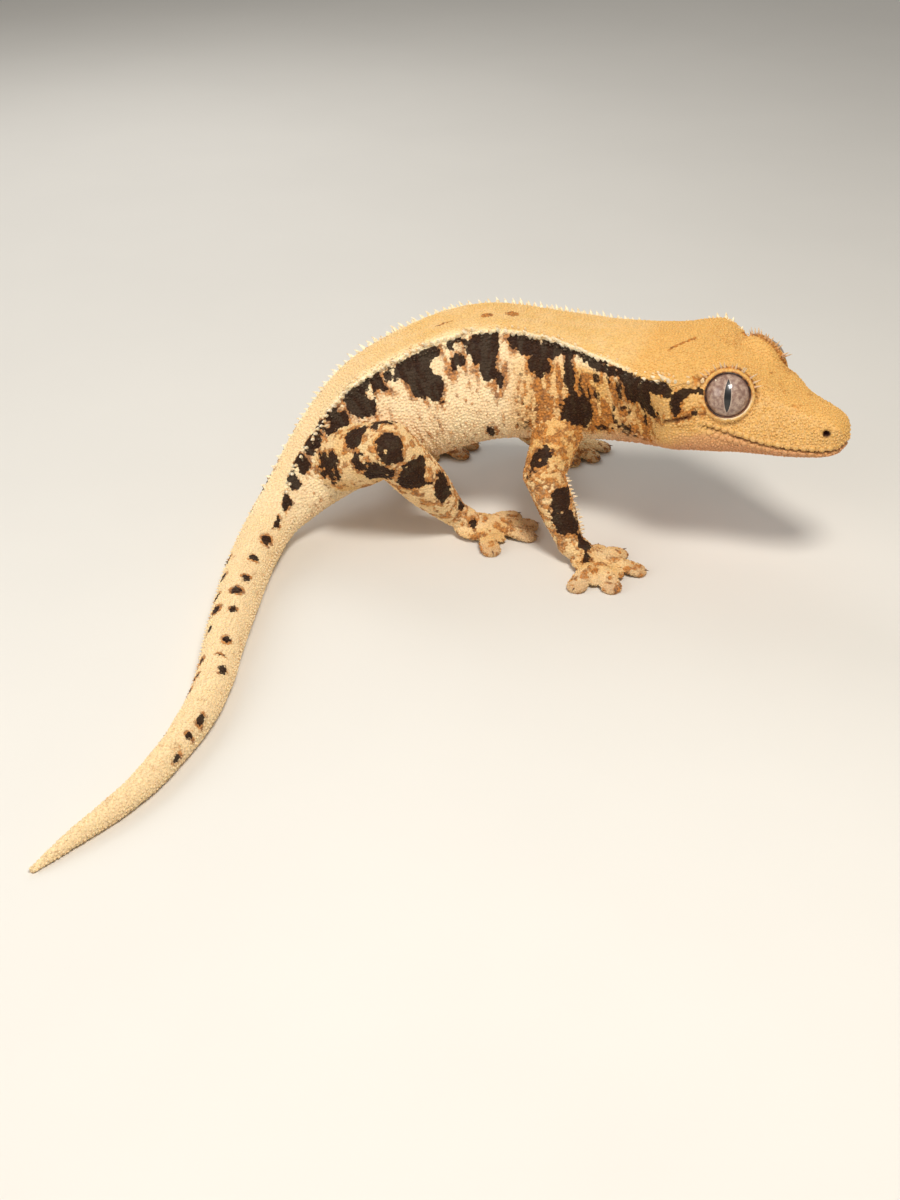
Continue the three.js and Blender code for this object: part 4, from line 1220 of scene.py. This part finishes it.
def ring_mesh(centres, ways, inwards, thickness, sides):
    """Closed ring through centres, round in section."""
    rings = centres[:, None] + circles(ways, inwards, sides) * thickness[:, None, None]
    n = len(centres)
    i, j = np.meshgrid(np.arange(n), np.arange(sides), indexing="ij")
    here, there = i * sides, (i + 1) % n * sides
    a, b = (here + j).ravel(), (here + (j + 1) % sides).ravel()
    c, d = (there + (j + 1) % sides).ravel(), (there + j).ravel()
    return outward(rings.reshape(-1, 3), np.concatenate([np.stack([a, b, c], 1), np.stack([a, c, d], 1)]))


def add_eyelids(materials, points=160, sides=12):
    """Dark edge round each eye and the smooth lid round that, pale below and in front."""
    turn = np.linspace(0, 2 * math.pi, points, endpoint=False)
    low = np.maximum(np.cos(turn + PALE_LID_TURN), 0) ** 2
    parts = (("edge", RIM - 0.035, EYE_RADIUS + 0.03, 0.13 - 0.03 * low),
             ("lid", RIM + 0.045, EYE_RADIUS + 0.14, 0.2 + 0.06 * low))
    for side, name in zip(SIDES, ("right", "left")):
        centre, axis, over, forward = eye_frame(side)
        way = forward * np.cos(turn)[:, None] + over * np.sin(turn)[:, None]
        for part, theta, radius, thickness in parts:
            ways = axis * math.cos(theta) + way * math.sin(theta)
            inwards = unit(np.cross(ways, np.roll(ways, -1, 0) - ways))
            verts, faces = ring_mesh(centre + ways * radius, ways, inwards, thickness, sides)
            add_piece(f"eye_{part}_{name}", verts, faces, materials[part], dict(pale=np.repeat(low, sides)),
                      (EYE_AT, side * 1.3, -1, 0))


def lid_material(name, shade, pale_shade, roughness):
    m = Nodes(name)
    base = m.mix(shade, pale_shade, m.ramp(m.attribute("pale"), 0.15, 0.7))
    base = m.mix(base, AMBER, m.ramp(m.noise(0.5, 3), 0.5, 0.8, 0.0, 0.5))
    m.feed(m.shader, {"Base Color": base, "Roughness": roughness})
    m.bump(m.noise(0.3, 2), 0.03)
    return m.material


def eye_material():
    """A veined iris with a dark pupil in a pale edge, under a clear coat."""
    m = Nodes("gecko_eye")
    vein = m.noise(0.3, 4, 0.7)
    veins = m.ramp(m.math("ABSOLUTE", m.math("SUBTRACT", vein, 0.5), 0.0), 0.0, 0.045, 1.0, 0.0)
    base = m.layers(
        m.mix(colour(130, 101, 86), colour(186, 160, 140), m.ramp(m.noise(0.7, 4), 0.35, 0.68)),
        (colour(128, 84, 74), m.math("MULTIPLY", veins, 0.55)),
        (colour(92, 60, 50), m.ramp(m.attribute("off_axis"), 0.84, 1.0)),
        (colour(226, 206, 188), m.ramp(m.attribute("pupil_edge"), 0.3, 0.9)),
        (colour(8, 6, 6), m.ramp(m.attribute("pupil"), 0.4, 0.6)))
    m.feed(m.shader, {"Base Color": base, "Roughness": 0.4, "Coat Weight": 1.0, "Coat Roughness": 0.04,
                      "Coat IOR": 1.4})
    m.bump(vein, 0.02, 0.3)
    return m.material


def add_eye(side, node, material, rows=150, sides=220):
    centre, axis, over, forward = eye_frame(side)
    theta = (np.linspace(0.004, 1, rows) * math.radians(104))[:, None, None]
    phi = np.linspace(0, 2 * math.pi, sides, endpoint=False)[None, :, None]
    radius = EYE_RADIUS - CORNEA * (1 - bell(theta, 0.5))
    round_axis = np.sin(phi) * over + np.cos(phi) * forward
    verts, faces = closed_grid(centre + radius * (np.cos(theta) * axis + np.sin(theta) * round_axis))
    d = verts - centre
    long_way = over * math.cos(PUPIL_LEAN) - forward * math.sin(PUPIL_LEAN)
    x, y = d @ np.cross(long_way, axis), d @ long_way
    half = PUPIL_HALF_WIDTH * np.clip(1 - (y / PUPIL_HALF_HEIGHT) ** 2, 0, 1) ** 0.8
    front = d @ axis > 0
    inside = (half - np.abs(x)) * front - (np.abs(y) > PUPIL_HALF_HEIGHT) * 2 - ~front * 2
    masks = dict(pupil=step(-0.03, 0.03, inside), pupil_edge=0.6 * bell(np.minimum(inside, 0) + 0.06, 0.09),
                 off_axis=np.hypot(x, y) / EYE_OPENING)
    add_piece(node + "_ball", verts, faces, material, masks, nodes=[node])


# The scene round the gecko

CAMERA_AT = (0.0, -269.06, 146.58)
CAMERA_DOWN = 31.5                 # degrees below level
FLOOR = colour(226, 222, 214)
FLOOR_CORNERS = [(-900, -900, 0), (900, -900, 0), (900, 1500, 0), (-900, 1500, 0)]


def add_floor():
    floor = new_mesh("floor", place(FLOOR_CORNERS) * (1, 1, 0), [(0, 1, 2, 3)], False)
    m = Nodes("pale_floor")
    darker = (*[c * 0.93 for c in FLOOR[:3]], 1.0)
    m.feed(m.shader, {"Base Color": m.mix(FLOOR, darker, m.noise(60.0, 3)), "Roughness": 0.8})
    floor.data.materials.append(m.material)


def add_light(name, at, towards, power, size, shade=(1, 1, 1)):
    data = bpy.data.lights.new(name, "AREA")
    data.energy, data.size, data.color = power, size * MM, shade
    lamp = bpy.data.objects.new(name, data)
    lamp.location = Vector(place(at))
    lamp.rotation_euler = (Vector(place(towards)) - lamp.location).to_track_quat("-Z", "Y").to_euler()
    bpy.context.scene.collection.objects.link(lamp)


def add_camera():
    data = bpy.data.cameras.new("camera")
    data.lens, data.sensor_width, data.sensor_fit = 50, 36, "AUTO"
    data.clip_start, data.clip_end = 0.01, 10
    camera = bpy.data.objects.new("camera", data)
    camera.location = Vector(place(CAMERA_AT))
    camera.rotation_euler = (math.radians(90 - CAMERA_DOWN), 0, 0)
    bpy.context.scene.collection.objects.link(camera)
    bpy.context.scene.camera = camera


def add_world():
    world = bpy.data.worlds.new("studio")
    world.use_nodes = True
    background = world.node_tree.nodes["Background"]
    background.inputs["Color"].default_value = (1, 0.98, 0.95, 1)
    background.inputs["Strength"].default_value = 0.32
    bpy.context.scene.world = world
    bpy.context.scene.view_settings.view_transform = "Standard"


FLESH = [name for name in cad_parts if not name.startswith("eye")]

add_camera()
add_world()
add_floor()
add_light("key", (60, -190, 330), (0, 0, 15), 1.08, 90, (1.0, 0.96, 0.9))
add_light("fill", (-280, -160, 140), (10, 0, 15), 0.4, 220)
add_light("back", (-120, 260, 240), (0, 0, 10), 0.35, 200)

skin = Skin()
crest_ridge(skin)
fold_skin(skin)
carve_eyes(skin)
skin.settle()
skin.place_head()
carve_head(skin)
skin.settle()
skin.masks = markings_and_shade(skin.verts, skin.s, skin.v, skin.leg, skin.t, skin.normals)
add_piece("gecko_skin", skin.verts, skin.quads, skin_material("gecko_skin"), skin.masks, nodes=FLESH)
add_scales(skin, skin_material("gecko_scales", 0.5, 0.03))
add_spines(spine_material())
add_eyelids({"edge": lid_material("eye_edge", colour(46, 26, 20), colour(120, 80, 60), 0.4),
             "lid": lid_material("eye_lid", colour(196, 132, 68), colour(240, 212, 168), 0.45)})
add_claws(skin, claw_material())
eye_shader = eye_material()
add_eye(1, "eye_right", eye_shader)
add_eye(-1, "eye_left", eye_shader)
